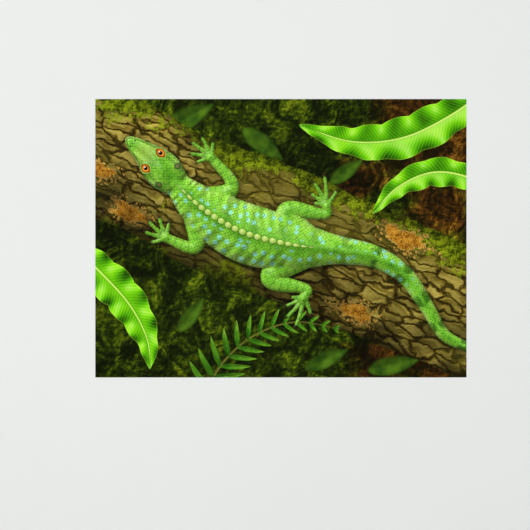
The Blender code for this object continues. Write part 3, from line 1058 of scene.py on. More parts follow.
@dataclass(eq=False)
class Value:
    """A number, vector or colour in a material, which is added and multiplied as numbers are.

    Attributes:
        sketch: The material's nodes.
        socket: The output that gives the value.
    """

    sketch: "Sketch"
    socket: bpy.types.NodeSocket

    def combine(self, operation: str, first: object, second: object = 0.0) -> "Value":
        """A sum's result, as a vector where this value is one."""
        kind = "Math" if self.socket.type == "VALUE" else "VectorMath"
        return self.sketch.add(kind, {0: first, 1: second}, operation=operation)

    def __add__(self, other: object) -> "Value":
        """The sum."""
        return self.combine("ADD", self, other)

    def __sub__(self, other: object) -> "Value":
        """The difference."""
        return self.combine("SUBTRACT", self, other)

    def __rsub__(self, other: float) -> "Value":
        """The difference, the other way round."""
        return self.combine("SUBTRACT", other, self)

    def __mul__(self, other: object) -> "Value":
        """The product. A vector or colour is scaled by a number.

        Args:
            other: The number.

        Returns:
            The product.
        """
        if self.socket.type == "VALUE":
            return self.combine("MULTIPLY", self, other)
        return self.sketch.add("VectorMath", {0: self, "Scale": other}, operation="SCALE")

    def __rmul__(self, colour: Colour) -> "Value":
        """A fixed colour scaled by this number."""
        return self.sketch.add("VectorMath", {0: colour, "Scale": self}, operation="SCALE")

    def __abs__(self) -> "Value":
        """The size without its sign."""
        return self.apply(Function.SIZE)

    def apply(self, function: Function) -> "Value":
        """The sine, fraction or other function of this number."""
        return self.combine(function.value, self)

    def above(self, other: object) -> "Value":
        """The higher of two numbers."""
        return self.combine("MAXIMUM", self, other)

    def below(self, other: object) -> "Value":
        """The lower of two numbers."""
        return self.combine("MINIMUM", self, other)

    def distance(self, other: object) -> "Value":
        """The distance to another point."""
        return self.sketch.add("VectorMath", {0: self, 1: other}, "Value", operation="DISTANCE")

    def product(self, other: object) -> "Value":
        """The dot product with another vector."""
        return self.sketch.add("VectorMath", {0: self, 1: other}, "Value", operation="DOT_PRODUCT")

    def smooth(self, low: float, high: float) -> "Value":
        """0 below low, 1 above high and a smooth rise between, or the reverse where low is the higher."""
        inputs = {"Value": self, "From Min": low, "From Max": high}
        return self.sketch.add("MapRange", inputs, interpolation_type="SMOOTHSTEP")

    def within(self, *span: float) -> "Value":
        """1 within a span, given by where it starts, is full, starts to fade and ends."""
        return self.smooth(*span[:2]) * self.smooth(*span[:1:-1])

    def ramp(self, stops: Table) -> "Value":
        """A colour read from a ramp.

        Args:
            stops: The ramp's stops, each its place from 0 to 1 and its screen values.

        Returns:
            The colour.
        """
        found = self.sketch.add("ValToRGB", {0: self})
        elements = found.socket.node.color_ramp.elements
        for index, (place, *screen) in enumerate(stops):
            stop = elements[index] if index < 2 else elements.new(place)
            stop.position = place
            stop.color = (*tint(*screen), 1.0)
        return found

    def beside(self, name: str) -> "Value":
        """Another output of the same node."""
        return Value(self.sketch, self.socket.node.outputs[name])

    def parts(self) -> list["Value"]:
        """A vector's three parts."""
        node = self.sketch.add("SeparateXYZ", {0: self}).socket.node
        return [Value(self.sketch, socket) for socket in node.outputs]


class Sketch:
    """A material's nodes, put together in few words."""

    def __init__(self, name: str) -> None:
        """Starts a material with one Principled shader.

        Args:
            name: The material's name.
        """
        self.material = bpy.data.materials.new(name)
        self.material.use_nodes = True
        self.tree = self.material.node_tree
        self.shader = self.tree.nodes["Principled BSDF"]
        self.place = self.add("TexCoord", {}, "Object")

    def feed(self, socket: bpy.types.NodeSocket, value: object) -> None:
        """Links a socket to a value, or sets it.

        Args:
            socket: The socket.
            value: The value, or a fixed number, vector or colour.
        """
        if isinstance(value, Value):
            self.tree.links.new(value.socket, socket)
        else:
            socket.default_value = (*value, 1.0) if socket.type == "RGBA" else value

    def add(self, kind: str, inputs: dict[str | int, object], output: str | int = 0,
            **settings: object) -> Value:
        """Adds a node.

        Args:
            kind: The node's type, without its ShaderNode.
            inputs: What each of its inputs is given, by name or number.
            output: The output that is wanted.
            settings: Its other settings.

        Returns:
            The output's value.
        """
        node = self.tree.nodes.new("ShaderNode" + kind)
        for name, value in settings.items():
            setattr(node, name, value)
        for key, value in inputs.items():
            self.feed(node.inputs[key], value)
        return Value(self, node.outputs[output])

    def mix(self, share: object, first: object, second: object) -> Value:
        """A mix of two colours."""
        return self.add("Mix", {0: share, 6: first, 7: second}, 2, data_type="RGBA")

    def mix_value(self, share: object, first: object, second: object) -> Value:
        """A mix of two numbers."""
        return self.add("Mix", {0: share, 2: first, 3: second}, data_type="FLOAT")

    def join(self, x: object, y: object) -> Value:
        """A flat vector from two parts."""
        return self.add("CombineXYZ", {0: x, 1: y})

    def field(self, name: Field) -> list[Value]:
        """The values of one of the net's fields."""
        return self.add("Attribute", {}, "Vector", attribute_name=name.value).parts()

    def noise(self, at: Value, grain: Grain, flat: bool = True) -> Value:
        """A noise's value, 0 to 1.

        Args:
            at: Where it is read.
            grain: The noise.
            flat: Whether it has no depth.

        Returns:
            The value.
        """
        inputs = {"Vector": at, "Scale": grain.scale, "Detail": grain.detail, "Roughness": grain.rough}
        inputs["Distortion"] = grain.warp
        return self.add("TexNoise", inputs, noise_dimensions="2D" if flat else "3D")

    def strayed(self, at: Value, grains: tuple[Grain, Grain], reach: float) -> Value:
        """How far a place strays to the right and up.

        Args:
            at: The place.
            grains: The two noises that move it.
            reach: How far they do so at most.

        Returns:
            The flat vector.
        """
        return self.join(*(self.noise(at, grain) for grain in grains)) * reach

    def cells(self, at: Value, cells: Cells) -> Value:
        """The distance from the middle or the edge of a cell in a pattern of them.

        Args:
            at: Where it is read.
            cells: The pattern.

        Returns:
            The distance.
        """
        inputs = {"Vector": at, "Scale": cells.scale, "Randomness": cells.loose}
        settings = {"voronoi_dimensions": "2D", "feature": cells.origin.value}
        return self.add("TexVoronoi", inputs, "Distance", **settings)

    def dress(self, colour: object, rough: object, sheen: float = 0.5, height: Value | None = None,
              strength: float = 0.1, depth: float = 0.0002, invert: bool = False) -> bpy.types.Material:
        """Feeds the shader.

        Args:
            colour: Its base colour.
            rough: Its roughness.
            sheen: Its specular level.
            height: The height of its bump.
            strength: The bump's strength.
            depth: The bump's depth in metres.
            invert: Whether the bump is turned inwards.

        Returns:
            The material.
        """
        self.feed(self.shader.inputs["Base Color"], colour)
        self.feed(self.shader.inputs["Roughness"], rough)
        self.feed(self.shader.inputs["Specular IOR Level"], sheen)
        if height:
            inputs = {"Height": height, "Strength": strength, "Distance": depth}
            self.feed(self.shader.inputs["Normal"], self.add("Bump", inputs, invert=invert))
        return self.material


@dataclass
class Ink:
    """The ink of one motif in the printed face's material.

    Attributes:
        s: The material's nodes.
        flat: The place on the print, as right, up and 0.
        picture: The picture.
        edge: How soft the motif's edge is.
        map: The field that holds how far inside its edge a point is.
    """

    s: Sketch
    flat: Value
    picture: Picture
    edge: float = 0.0006
    map: ClassVar[Field]

    def inside(self, distance: Value) -> Value:
        """1 inside a motif's edge and 0 outside it."""
        return distance.smooth(-self.edge, self.edge)

    def cover(self) -> Value:
        """Where the motif is."""
        return self.inside(self.s.field(self.map)[0])

    def relief(self, height: Callable[[Value], Value], step: float, strength: float) -> Value:
        """Printed light on a small relief: brighter where it rises away from the picture's light.

        Args:
            height: Gives the relief's height at a place.
            step: How far towards the light the second height is read, in metres.
            strength: How strongly the difference tells.

        Returns:
            A factor about 1.
        """
        towards = (step * PICTURE_LIGHT[0], step * PICTURE_LIGHT[1], 0.0)
        rise = height(self.flat) - height(self.flat + towards)
        return (rise * strength + 1.0).above(0.15)


@dataclass
class BankInk(Ink):
    """The dark mossy bank far behind, and the soft leaves before it."""

    coarse: Grain = Grain(13.0, 7.0, 0.62, 0.7)
    fine: Grain = Grain(62.0, 4.0, 0.6)
    ragged: Grain = Grain(9.0, 4.0)
    mottle: Grain = Grain(22.0)
    moss: Table = (
        (0.42, 10, 14, 0), (0.66, 20, 29, 1), (0.78, 41, 56, 4), (0.90, 80, 99, 8), (1.0, 130, 139, 24),
    )
    soil: Table = (
        (0.42, 13, 10, 0), (0.66, 33, 22, 3), (0.80, 74, 45, 8), (0.92, 118, 79, 18), (1.0, 152, 113, 34),
    )
    leaves: Table = ((0.3, 48, 84, 16), (0.7, 88, 128, 26))

    def rough(self, at: Value) -> Value:
        """The bank's relief."""
        return self.s.noise(at, self.coarse) + self.s.noise(at, self.fine) * 0.45

    def colour(self) -> Value:
        """The bank's colour."""
        s, flat = self.s, self.flat
        tone, earth, leaf = s.field(Field.BACK_LIGHT)
        height = self.rough(flat)
        bare = (earth + s.noise(flat, self.ragged) * 0.8 - 0.4).smooth(0.35, 0.75)
        bank = s.mix(bare, height.ramp(self.moss), height.ramp(self.soil))
        # tone is the bank's painted light, brighter towards the top
        bank = bank * self.relief(self.rough, 0.006, 3.2) * tone
        # leaf carries the far leaves' painted light as well as their cover
        leaves = s.noise(flat, self.mottle).ramp(self.leaves) * (leaf * 0.7 + 0.15)
        return s.mix(leaf.smooth(0.05, 0.65), bank, leaves)


@dataclass
class BarkInk(Ink):
    """The trunk's bark, with its moss and lichen.

    Attributes:
        stretch: How much longer the bark's plates are than wide.
        plates: How many there are to a metre, across.
        grains: How many grains a lichen's crust has to a metre.
        crumbs: How many loose crumbs lie round it to a metre.
        fringe: The ragged edge of the trunk's moss.
        fibres: The wood's fibres.
        bends: What bends the plates.
        bend: How far it does so.
        fine_tufts: The moss's finest tufts.
        broad_tufts: Its broader ones.
        crust_grain: The unevenness of the lichen's crust.
        ragged: The lichen's ragged edge.
        crumb_bends: What makes the crumbs uneven.
        crumb_bend: How far it does so.
    """

    map: ClassVar[Field] = Field.TRUNK_MAP
    edge: float = 0.00096
    stretch: float = 3.1
    plates: float = 34.0
    grains: float = 210.0
    crumbs: float = 72.0
    fringe: Grain = Grain(95.0, 5.0, 0.65)
    fibres: Grain = Grain(46.0, 6.0, 0.62)
    bends: tuple[Grain, Grain] = (Grain(16.0), Grain(19.0))
    bend: float = 0.035
    fine_tufts: Grain = Grain(120.0, 5.0, 0.7)
    broad_tufts: Grain = Grain(40.0)
    crust_grain: Grain = Grain(60.0, 4.0)
    ragged: Grain = Grain(85.0, 6.0, 0.70)
    crumb_bends: tuple[Grain, Grain] = (Grain(110.0), Grain(127.0))
    crumb_bend: float = 0.016
    wood: Table = ((0.28, 24, 20, 2), (0.52, 66, 54, 13), (0.74, 110, 94, 30), (0.92, 156, 140, 64))
    algae: Colour = tint(98, 92, 26)
    moss: Table = ((0.60, 32, 41, 2), (0.86, 80, 97, 6), (1.0, 136, 153, 20))
    crust: Table = ((0.40, 216, 166, 62), (0.75, 184, 124, 30), (1.0, 108, 68, 14))
    crust_rim: Colour = tint(214, 186, 98)
    lichen_shadow: Colour = tint(24, 18, 6)

    def cover(self) -> Value:
        """Where the trunk is, with a fringe of moss."""
        edge, _, moss = self.s.field(self.map)
        fringe = self.s.noise(self.flat, self.fringe) * 0.018 - 0.009
        return self.inside(edge + fringe * moss.smooth(0.2, 0.9))

    def bent(self, at: Value) -> Value:
        """A place in the trunk's own directions, drawn out along it and bent a little.

        Args:
            at: The place on the print.

        Returns:
            The place that the bark's pattern is read at.
        """
        trunk = self.picture.trunk
        settings = {0: at, 1: (*trunk.middle, 0.0), 2: (0.0, 0.0, trunk.tilt), 3: (self.stretch, 1.0, 1.0)}
        turned = self.s.add("Mapping", settings, vector_type="TEXTURE")
        return turned + self.s.strayed(at, self.bends, self.bend)

    def rough(self, at: Value) -> Value:
        """The bark's ridges and cracks.

        Args:
            at: The place on the print.

        Returns:
            Their height.
        """
        bent = self.bent(at)
        crack = self.s.cells(bent, Cells(self.plates, origin=Origin.EDGE))
        return self.s.noise(bent, self.fibres) * 0.85 + crack.smooth(0.0, 0.22) * 0.42

    def tufts(self, at: Value) -> Value:
        """The moss's small cushions."""
        return self.s.noise(at, self.fine_tufts) * 0.8 + self.s.noise(at, self.broad_tufts)

    def bare(self) -> Value:
        """The bare bark, each plate with its own tone."""
        s = self.s
        _, patchy, _ = s.field(Field.TRUNK_LIGHT)
        wood = self.rough(self.flat).ramp(self.wood) * (patchy.smooth(-0.1, 0.9) * 0.25 + 1.0)
        wood = s.mix(patchy.smooth(0.2, -1.0) * 0.5, wood, self.algae)
        plate = s.cells(self.bent(self.flat), Cells(self.plates)).beside("Color").parts()[0]
        return wood * self.relief(self.rough, 0.0028, 3.4) * (plate * 0.36 + 0.84)

    def lichened(self, bark: Value, lichen: Value) -> Value:
        """Adds the lichen, with a painted shadow round each patch.

        Args:
            bark: The bark's colour.
            lichen: How far inside a patch of lichen it is.

        Returns:
            The colour with it.
        """
        s, flat = self.s, self.flat
        crust = (s.cells(flat, Cells(self.grains)) * 0.6 + s.noise(flat, self.crust_grain)).ramp(self.crust)
        ragged = s.noise(flat, self.ragged) * 0.026 - 0.0135
        crumbs = s.cells(flat + s.strayed(flat, self.crumb_bends, self.crumb_bend), Cells(self.crumbs))
        chance = crumbs.beside("Color").parts()[0] * -0.006 + (lichen + 0.024) * 0.35
        inside = (lichen + ragged).above((crumbs * -0.0139 + 0.0046).below(chance))
        crust = s.mix(inside.smooth(0.0042, 0.0008) * 0.45, crust, self.crust_rim)
        crust = crust * self.relief(self.tufts, 0.0022, 2.2)
        # Painted shadow: the bark is darker in a band just outside each lichen patch
        bark = s.mix(inside.smooth(-0.0036, -0.0004) * 0.50, bark, self.lichen_shadow)
        return s.mix(inside.smooth(-0.0008, 0.0008), bark, crust)

    def colour(self) -> Value:
        """The trunk's colour, with moss over its bark and lichen over both."""
        s = self.s
        light, _, _ = s.field(Field.TRUNK_LIGHT)
        _, lichen, moss = s.field(self.map)
        cushion = self.tufts(self.flat)
        green = cushion.ramp(self.moss) * self.relief(self.tufts, 0.003, 2.6)
        grown = s.mix((moss + cushion * 0.9 - 0.80).smooth(0.42, 0.70), self.bare(), green)
        return self.lichened(grown, lichen) * light


@dataclass(frozen=True)
class SkinTints:
    """The colours of the lizard."""

    greens: Table = ((0.18, 70, 142, 28), (0.42, 120, 200, 48), (0.66, 156, 226, 72), (0.86, 196, 240, 122))
    bar: Colour = tint(36, 92, 22)
    ring: Colour = tint(50, 116, 26)
    spot: Colour = tint(148, 234, 208)
    speck: Colour = tint(24, 66, 20)
    seam: Colour = tint(44, 104, 26)
    gloss: Colour = tint(232, 255, 196)
    brow: Colour = tint(190, 214, 84)
    jaw: Colour = tint(26, 60, 18)
    streak: Colour = tint(42, 92, 26)
    ear_rim: Colour = tint(34, 74, 24)
    ear: Table = ((0.5, 150, 158, 92), (0.9, 104, 118, 60))
    nostril: Colour = tint(14, 30, 10)
    crest_foot: Colour = tint(28, 78, 26)
    # tooth: the crest's pale colour, with painted light near each tooth's front and painted shade at its rear
    # end
    tooth: Table = ((0.0, 188, 224, 92), (0.30, 222, 246, 142), (0.72, 168, 214, 70), (0.97, 78, 128, 36))
    claw: Table = ((0.3, 66, 52, 30), (0.7, 90, 72, 44))
    lid: Table = ((0.1, 206, 232, 112), (0.7, 96, 150, 44))
    lid_rim: Colour = tint(20, 26, 8)
    iris: Table = ((0.44, 255, 214, 92), (0.62, 244, 134, 26), (0.96, 138, 44, 6))
    pupil: Colour = tint(6, 5, 3)
    glint: Colour = tint(255, 252, 240)


@dataclass
class SkinInk(Ink):
    """The lizard's scaly skin, with its spots, crest, eyes and claws.

    Attributes:
        scale_size: How far apart the scales are.
        scale_relief: How strongly a scale's dome tells.
        scale_seam: How dark the seams between the scales are.
        scale_loose: How irregular the scales are.
        blotches: The unevenness of its greens.
        spots: The pattern of the spots.
        spot_rim: The unevenness of their rims.
        specks: The pattern of the dark specks.
        shields: The pattern of the head's shields.
        lid_grains: The pattern of the grains on the eyelids.
        iris_grain: The unevenness of the iris.
        brow: The middle of the warmer brow, along the body and out from the spine, as the next two are.
        ear: The middle of an ear.
        nostril: The middle of a nostril.
        ear_radius: An ear's half-width.
        cheek: How far out the dark cheek streak lies.
        glint: How far right and up of an eye's middle its glint is.
        spots_along: The spots' span along the body.
        spots_out: Their span from its middle, 0, to its edge, 1.
        jaw: The jaw line's span inwards from the edge.
        streak: The cheek streak's span along the body.
        tints: Its colours.
    """

    map: ClassVar[Field] = Field.LIZARD_MAP
    scale_size: float = 0.0088
    scale_relief: float = 0.62
    scale_seam: float = 0.42
    scale_loose: float = 0.42
    blotches: Grain = Grain(26.0, 5.0, 0.6)
    spots: Cells = Cells(34.0, 0.72)
    spot_rim: Grain = Grain(160.0, 2.0)
    specks: Cells = Cells(150.0)
    shields: Cells = Cells(84.0, 0.8, Origin.EDGE)
    lid_grains: Cells = Cells(330.0, 0.8)
    iris_grain: Grain = Grain(460.0, 2.0)
    brow: Point = (0.070, 0.0)
    ear: Point = (0.178, 0.0440)
    nostril: Point = (0.0206, 0.0120)
    ear_radius: float = 0.0088
    cheek: float = 0.0425
    glint: Point = (-0.0032, 0.0036)
    spots_along: tuple[float, ...] = (0.20, 0.25, 0.95, 1.15)
    spots_out: tuple[float, ...] = (0.18, 0.28, 0.86, 0.98)
    jaw: tuple[float, ...] = (0.0036, 0.0054, 0.0066, 0.0084)
    streak: tuple[float, ...] = (0.116, 0.130, 0.170, 0.188)
    tints: SkinTints = SkinTints()

    def __post_init__(self) -> None:
        """Reads the lizard's fields."""
        s = self.s
        self.distance, self.along, self.lateral = s.field(self.map)
        self.light, self.shine, self.limb = s.field(Field.LIZARD_LIGHT)
        self.claw, self.outward, _ = s.field(Field.LIZARD_MARKS)
        self.spread = abs(self.lateral)
        self.halved = s.join(self.along, self.spread)
        self.mottle = s.noise(self.flat, self.blotches)

    def scales(self, at: Value, turned: float, light_turned: float) -> Value:
        """The light on domed scales that lie in slanting rows.

        Args:
            at: The place, in metres.
            turned: How far the rows are turned from the axes of the place.
            light_turned: How far those axes are turned from the picture's.

        Returns:
            A factor about 1.
        """
        slant = math.radians(45) - turned
        rows = self.s.add("Mapping", {0: at, 2: (0.0, 0.0, slant)})
        scale = self.s.cells(rows, Cells(1 / self.scale_size, self.scale_loose))
        towards = Matrix.Rotation(slant + light_turned, 3, "Z") @ Vector((*PICTURE_LIGHT[:2], 0.0))
        facing = (rows - scale.beside("Position")).product(tuple(towards))
        dome = facing * (self.scale_relief / self.scale_size) + 1.13
        return dome - scale.smooth(0.34, 0.66) * self.scale_seam

    def ground(self) -> Value:
        """The skin's greens, with darker bars on the back, bands on the tail and rings on the legs."""
        s, limb, wobble = self.s, self.limb, self.mottle * 4.0
        limb_along, limb_outward, _ = s.field(Field.LIMB_MAP)
        pale = s.mix_value(limb, self.outward, limb_outward * 0.5 + 0.25)
        green = (self.mottle * 0.60 + pale * 0.50).ramp(self.tints.greens)
        bar = (self.along * 60.0 + wobble).apply(Function.SINE).smooth(0.30, 0.95) * (1.0 - limb)
        bar = bar * self.outward.smooth(0.10, 0.35) * (self.along.smooth(0.76, 0.92) * 0.42 + 0.34)
        ring = (limb_along * 250.0 + wobble).apply(Function.SINE).smooth(0.35, 1.0) * limb
        return s.mix(ring * 0.32, s.mix(bar, green, self.tints.bar), self.tints.ring)

    def colour(self) -> Value:
        """The skin's colour, from its ground up to its eyes."""
        s, flat, along, outward, tints = self.s, self.flat, self.along, self.outward, self.tints
        trunk_only = 1.0 - self.limb
        body = s.join(along, self.lateral)
        spots = s.cells(body, self.spots)
        spot = (s.noise(flat, self.spot_rim) * 0.12 + spots).smooth(0.38, 0.26)
        spot = spot * spots.beside("Color").parts()[0].smooth(0.30, 0.36)
        belt = outward.within(*self.spots_out) * along.within(*self.spots_along) * trunk_only
        skin = s.mix(spot * belt * 0.84, self.ground(), tints.spot)

        tilt = self.picture.trunk.tilt
        scales = s.mix_value(self.limb, self.scales(body, 0.0, -tilt), self.scales(flat, tilt, 0.0))
        specks = s.cells(flat, self.specks)
        speck = specks.smooth(0.34, 0.20) * specks.beside("Color").parts()[1].smooth(0.86, 0.92)
        skin = s.mix(speck * 0.45, skin * scales, tints.speck)
        shields = s.cells(self.halved, self.shields)
        seam = shields.smooth(0.09, 0.02) * along.smooth(0.22, 0.17) * trunk_only * 0.50
        skin = s.mix(seam, skin, tints.seam) * self.light
        skin = self.crested(self.crowned(skin))
        # Painted highlight where the skin faces the picture's shine
        skin = s.mix(self.shine * (self.mottle * 0.36 + 0.04), skin, tints.gloss)
        return self.eyed(s.mix(self.claw, skin, self.mottle.ramp(tints.claw) * self.light))

    def crowned(self, skin: Value) -> Value:
        """Marks the head: its warmer brow, jaw line, cheek streaks, ears and nostrils.

        Args:
            skin: The skin so far.

        Returns:
            The skin with them.
        """
        s, along, light, tints = self.s, self.along, self.light, self.tints
        brow, ear, nostril = (self.halved.distance((*at, 0.0)) for at in (self.brow, self.ear, self.nostril))
        skin = s.mix(brow.smooth(0.052, 0.012) * 0.40, skin, tints.brow * light)
        jaw = self.distance.within(*self.jaw)
        skin = s.mix(jaw * along.smooth(0.150, 0.128) * 0.62, skin, tints.jaw)
        streak = along.within(*self.streak) * abs(self.spread - self.cheek).smooth(0.0085, 0.0030)
        skin = s.mix(streak * 0.42, skin, tints.streak * light)
        ear = ear * (1 / self.ear_radius)
        skin = s.mix(ear.smooth(1.42, 1.14) * 0.75, skin, tints.ear_rim)
        skin = s.mix(ear.smooth(1.09, 0.91), skin, ear.ramp(tints.ear) * light)
        return s.mix(nostril.smooth(0.0036, 0.0022), skin, tints.nostril)

    def crested(self, skin: Value) -> Value:
        """Adds the pale toothed crest, each tooth with painted light and shade, and a painted shadow along
        its foot.

        Args:
            skin: The skin so far.

        Returns:
            The skin with it.
        """
        s, along, lizard = self.s, self.along, self.picture.lizard
        start, end, peak = lizard.crest_from, lizard.crest_to, lizard.crest_peak
        tooth = ((along - start) * (lizard.crest_teeth / (end - start))).apply(Function.FRACTION)
        bulge = (tooth * (1 / peak)).below((1.0 - tooth) * (1 / (1 - peak))) * (math.pi / 2)
        half = bulge.apply(Function.SINE) * (1 - lizard.crest_notch) + lizard.crest_notch
        taper = along.within(start, start + lizard.crest_grows, end - lizard.crest_grows, end)
        inside = half * taper * lizard.crest_half - self.spread
        grown = taper.smooth(0.0, 0.2)
        # Painted shadow of the crest along its foot
        foot = inside.smooth(-lizard.crest_foot, -self.edge) * grown
        skin = s.mix(foot * 0.62, skin, self.tints.crest_foot)
        # Each tooth's ramp carries painted light near its front and painted shade at its rear end, where the
        # next overlaps it
        return s.mix(self.inside(inside) * grown, skin, tooth.ramp(self.tints.tooth) * self.light)

    def eyed(self, skin: Value) -> Value:
        """Adds the two eyes, each with granular lids, orange iris, round pupil and glint.

        Args:
            skin: The skin so far.

        Returns:
            The skin with them.
        """
        s, flat, lizard, tints = self.s, self.flat, self.picture.lizard, self.tints
        # Every distance but the glint's is in eye radii
        per_radius, pupil = 1 / lizard.eye_radius, lizard.pupil_radius / lizard.eye_radius
        u = (self.along - lizard.eye_at) * per_radius
        v = (self.spread - lizard.eye_out) * per_radius
        out = abs(v) + u * u * 0.56 - 0.90
        away = self.halved.distance((lizard.eye_at, lizard.eye_out, 0.0)) * per_radius
        lids = s.cells(flat, self.lid_grains).ramp(tints.lid)
        skin = s.mix(out.smooth(0.52, 0.34) * 0.80, skin, lids)
        skin = s.mix(out.smooth(0.12, 0.02), skin, tints.lid_rim)
        iris = (s.noise(flat, self.iris_grain) * 0.22 + away * 0.8).ramp(tints.iris)
        # Painted shadow of the lid: the iris is darker on its side towards the spine
        skin = s.mix(out.smooth(0.0, -0.08), skin, iris * (v.smooth(-0.85, 0.0) * 0.55 + 0.45))
        skin = s.mix(away.smooth(pupil + 0.05, pupil - 0.05), skin, tints.pupil)
        for right, up in lizard.eyes(lizard.spine(self.picture.trunk)):
            glint = flat.distance((right + self.glint[0], up + self.glint[1], 0.0))
            skin = s.mix(glint.smooth(0.0028, 0.0012), skin, tints.glint)
        return skin


@dataclass
class BladeInk(Ink):
    """The strap leaves, with their pale midribs and side veins.

    Attributes:
        vein_step: How far apart the side veins are.
        rib_root: The midrib's half-width at the leaf's root.
        rib_thins: How much of it is lost by the tip.
        mottle: The unevenness of the leaves' greens.
        wander: What makes the side veins wander.
    """

    map: ClassVar[Field] = Field.BLADE_MAP
    vein_step: float = 0.0115
    rib_root: float = 0.0036
    rib_thins: float = 0.0022
    mottle: Grain = Grain(12.0, 4.0)
    wander: Grain = Grain(30.0, 2.0)
    greens: Table = ((0.36, 28, 104, 1), (0.56, 82, 186, 3), (0.76, 124, 222, 8), (0.98, 170, 240, 40))
    vein: Colour = tint(186, 242, 62)
    furrow_shade: Colour = tint(22, 104, 2)
    margin: Colour = tint(196, 246, 76)
    rib_foot: Colour = tint(28, 100, 2)
    rib: Colour = tint(204, 246, 104)
    gloss: Colour = tint(232, 255, 150)

    def colour(self) -> Value:
        """The leaves' colour."""
        s, flat = self.s, self.flat
        distance, along, lateral = s.field(self.map)
        light, shine, share = s.field(Field.BLADE_LIGHT)
        away = abs(lateral)
        green = (s.noise(flat, self.mottle) * 0.5 + light * 0.5).ramp(self.greens)
        slant = away * -0.75 + along + s.noise(flat, self.wander) * 0.004
        vein = (slant * (2 * math.pi / self.vein_step)).apply(Function.SINE)
        # Pale side veins are partly their own colour and partly a painted highlight on their ridges; the
        # darker stripes are painted shade in the furrows between them
        green = s.mix(vein.smooth(0.72, 0.98) * 0.30, green, self.vein)
        green = s.mix(vein.smooth(-0.55, -0.98) * 0.22, green, self.furrow_shade)
        green = s.mix(distance.smooth(0.0030, 0.0008) * 0.45, green, self.margin)
        green = green * (light * 0.75 + 0.28)
        rib = share * -self.rib_thins + self.rib_root - away
        # Painted shadow in a band beside the midrib
        green = s.mix(rib.smooth(-0.0042, -0.0002) * 0.40, green, self.rib_foot)
        green = s.mix(self.inside(rib) * share.smooth(0.94, 0.86), green, self.rib)
        # Painted highlight where the leaf faces the picture's shine
        return s.mix(shine * 0.26, green, self.gloss)


@dataclass
class FernInk(Ink):
    """The fern."""

    map: ClassVar[Field] = Field.FERN_MAP
    mottle: Grain = Grain(30.0)
    greens: Table = ((0.2, 40, 104, 14), (0.5, 84, 156, 26), (0.85, 150, 208, 58))
    vein: Colour = tint(30, 84, 10)
    rib: Colour = tint(170, 214, 92)
    stem: Colour = tint(126, 128, 48)

    def colour(self) -> Value:
        """The fern's colour."""
        s = self.s
        _, share, outward = s.field(self.map)
        light, leaflet, _ = s.field(Field.FERN_LIGHT)
        green = (s.noise(self.flat, self.mottle) * 0.5 + share * 0.5).ramp(self.greens)
        vein = (share * 70.0 + outward * -9.0).apply(Function.SINE)
        green = s.mix(vein.smooth(0.5, 1.0) * 0.25, green, self.vein)
        green = s.mix(outward.smooth(0.16, 0.05) * 0.6, green, self.rib)
        return s.mix(leaflet, self.stem, green) * light


@dataclass(frozen=True)
class PrintFinish:
    """The printed face: matt ink on vinyl, with the picture in it."""

    picture: Picture
    rough_low: float = 0.46
    rough_high: float = 0.60
    grain: Grain = Grain(900.0, 2.0)
    sheen: float = 0.03

    def make(self) -> bpy.types.Material:
        """Puts the picture's inks together, the furthest first."""
        s = Sketch("printed_face")
        right, _, up = s.place.parts()
        flat = s.join(right, up)
        colour = BankInk(s, flat, self.picture).colour()
        for kind in (BarkInk, FernInk, SkinInk, BladeInk):
            ink = kind(s, flat, self.picture)
            colour = s.mix(ink.cover(), colour, ink.colour())
        grain = s.noise(flat, self.grain)
        rough = grain * (self.rough_high - self.rough_low) + self.rough_low
        return s.dress(colour, rough, self.sheen, grain, 0.12)


@dataclass(frozen=True)
class FilmFinish:
    """Bare white vinyl, as at the sheet's cut edge."""

    pale: Colour = tint(238, 239, 238)
    dull: Colour = tint(226, 227, 225)
    cloud: Grain = Grain(60.0, 4.0)

    def make(self) -> bpy.types.Material:
        """The material."""
        s = Sketch("white_film")
        cloud = s.noise(s.place, self.cloud, flat=False)
        return s.dress(s.mix(cloud, self.dull, self.pale), cloud * 0.12 + 0.44, height=cloud)


@dataclass(frozen=True)
class AdhesiveFinish:
    """The adhesive coat: milky, streaked down the roll, with the liner's crossed lines pressed in."""

    coat: Colour = tint(206, 206, 196)
    milky: Colour = tint(226, 226, 220)
    line: Colour = tint(164, 166, 160)
    spacing: float = 0.024
    line_from: float = 0.955
    line_to: float = 0.985
    streaks: Grain = Grain(38.0, 5.0, 0.6)
    cloud: Grain = Grain(3.5, 4.0)

    def make(self) -> bpy.types.Material:
        """The material."""
        s = Sketch("adhesive_coat")
        right, _, up = s.place.parts()
        turns = 2 * math.pi / self.spacing
        first, second = ((run * turns).apply(Function.COSINE) for run in (right + up, right - up))
        groove = first.above(second).smooth(self.line_from, self.line_to)
        streak = s.noise(s.join(right, up * 0.06), self.streaks)
        coat = s.mix(streak.smooth(0.30, 0.72), self.coat, self.milky)
        coat = coat * (s.noise(s.join(right, up), self.cloud) * 0.16 + 0.90)
        coat = s.mix(groove * 0.70, coat, self.line)
        return s.dress(coat, streak * 0.22 + 0.20, 0.5, groove, 0.5, 0.0003, invert=True)


@dataclass(frozen=True)
class WallPaint:
    """White emulsion put on with a roller, with its fine stipple. It is clear from behind."""

    tone: Colour = tint(238, 240, 239)
    shade: Colour = tint(235, 237, 236)
    cloud: Grain = Grain(1.4)
    stipple: Grain = Grain(260.0, 2.0)

    def make(self) -> bpy.types.Material:
        """The material."""
        s = Sketch("wall_paint")
        cloud = s.noise(s.place, self.cloud, flat=False)
        dots = s.noise(s.place, self.stipple, flat=False)
        s.dress(s.mix(cloud, self.shade, self.tone), 0.85, 0.1, dots, depth=0.0004)
        behind = s.add("NewGeometry", {}, "Backfacing")
        clear = s.add("BsdfTransparent", {})
        seen = s.add("MixShader", {0: behind, 1: Value(s, s.shader.outputs[0]), 2: clear})
        s.feed(s.tree.nodes["Material Output"].inputs["Surface"], seen)
        return s.material


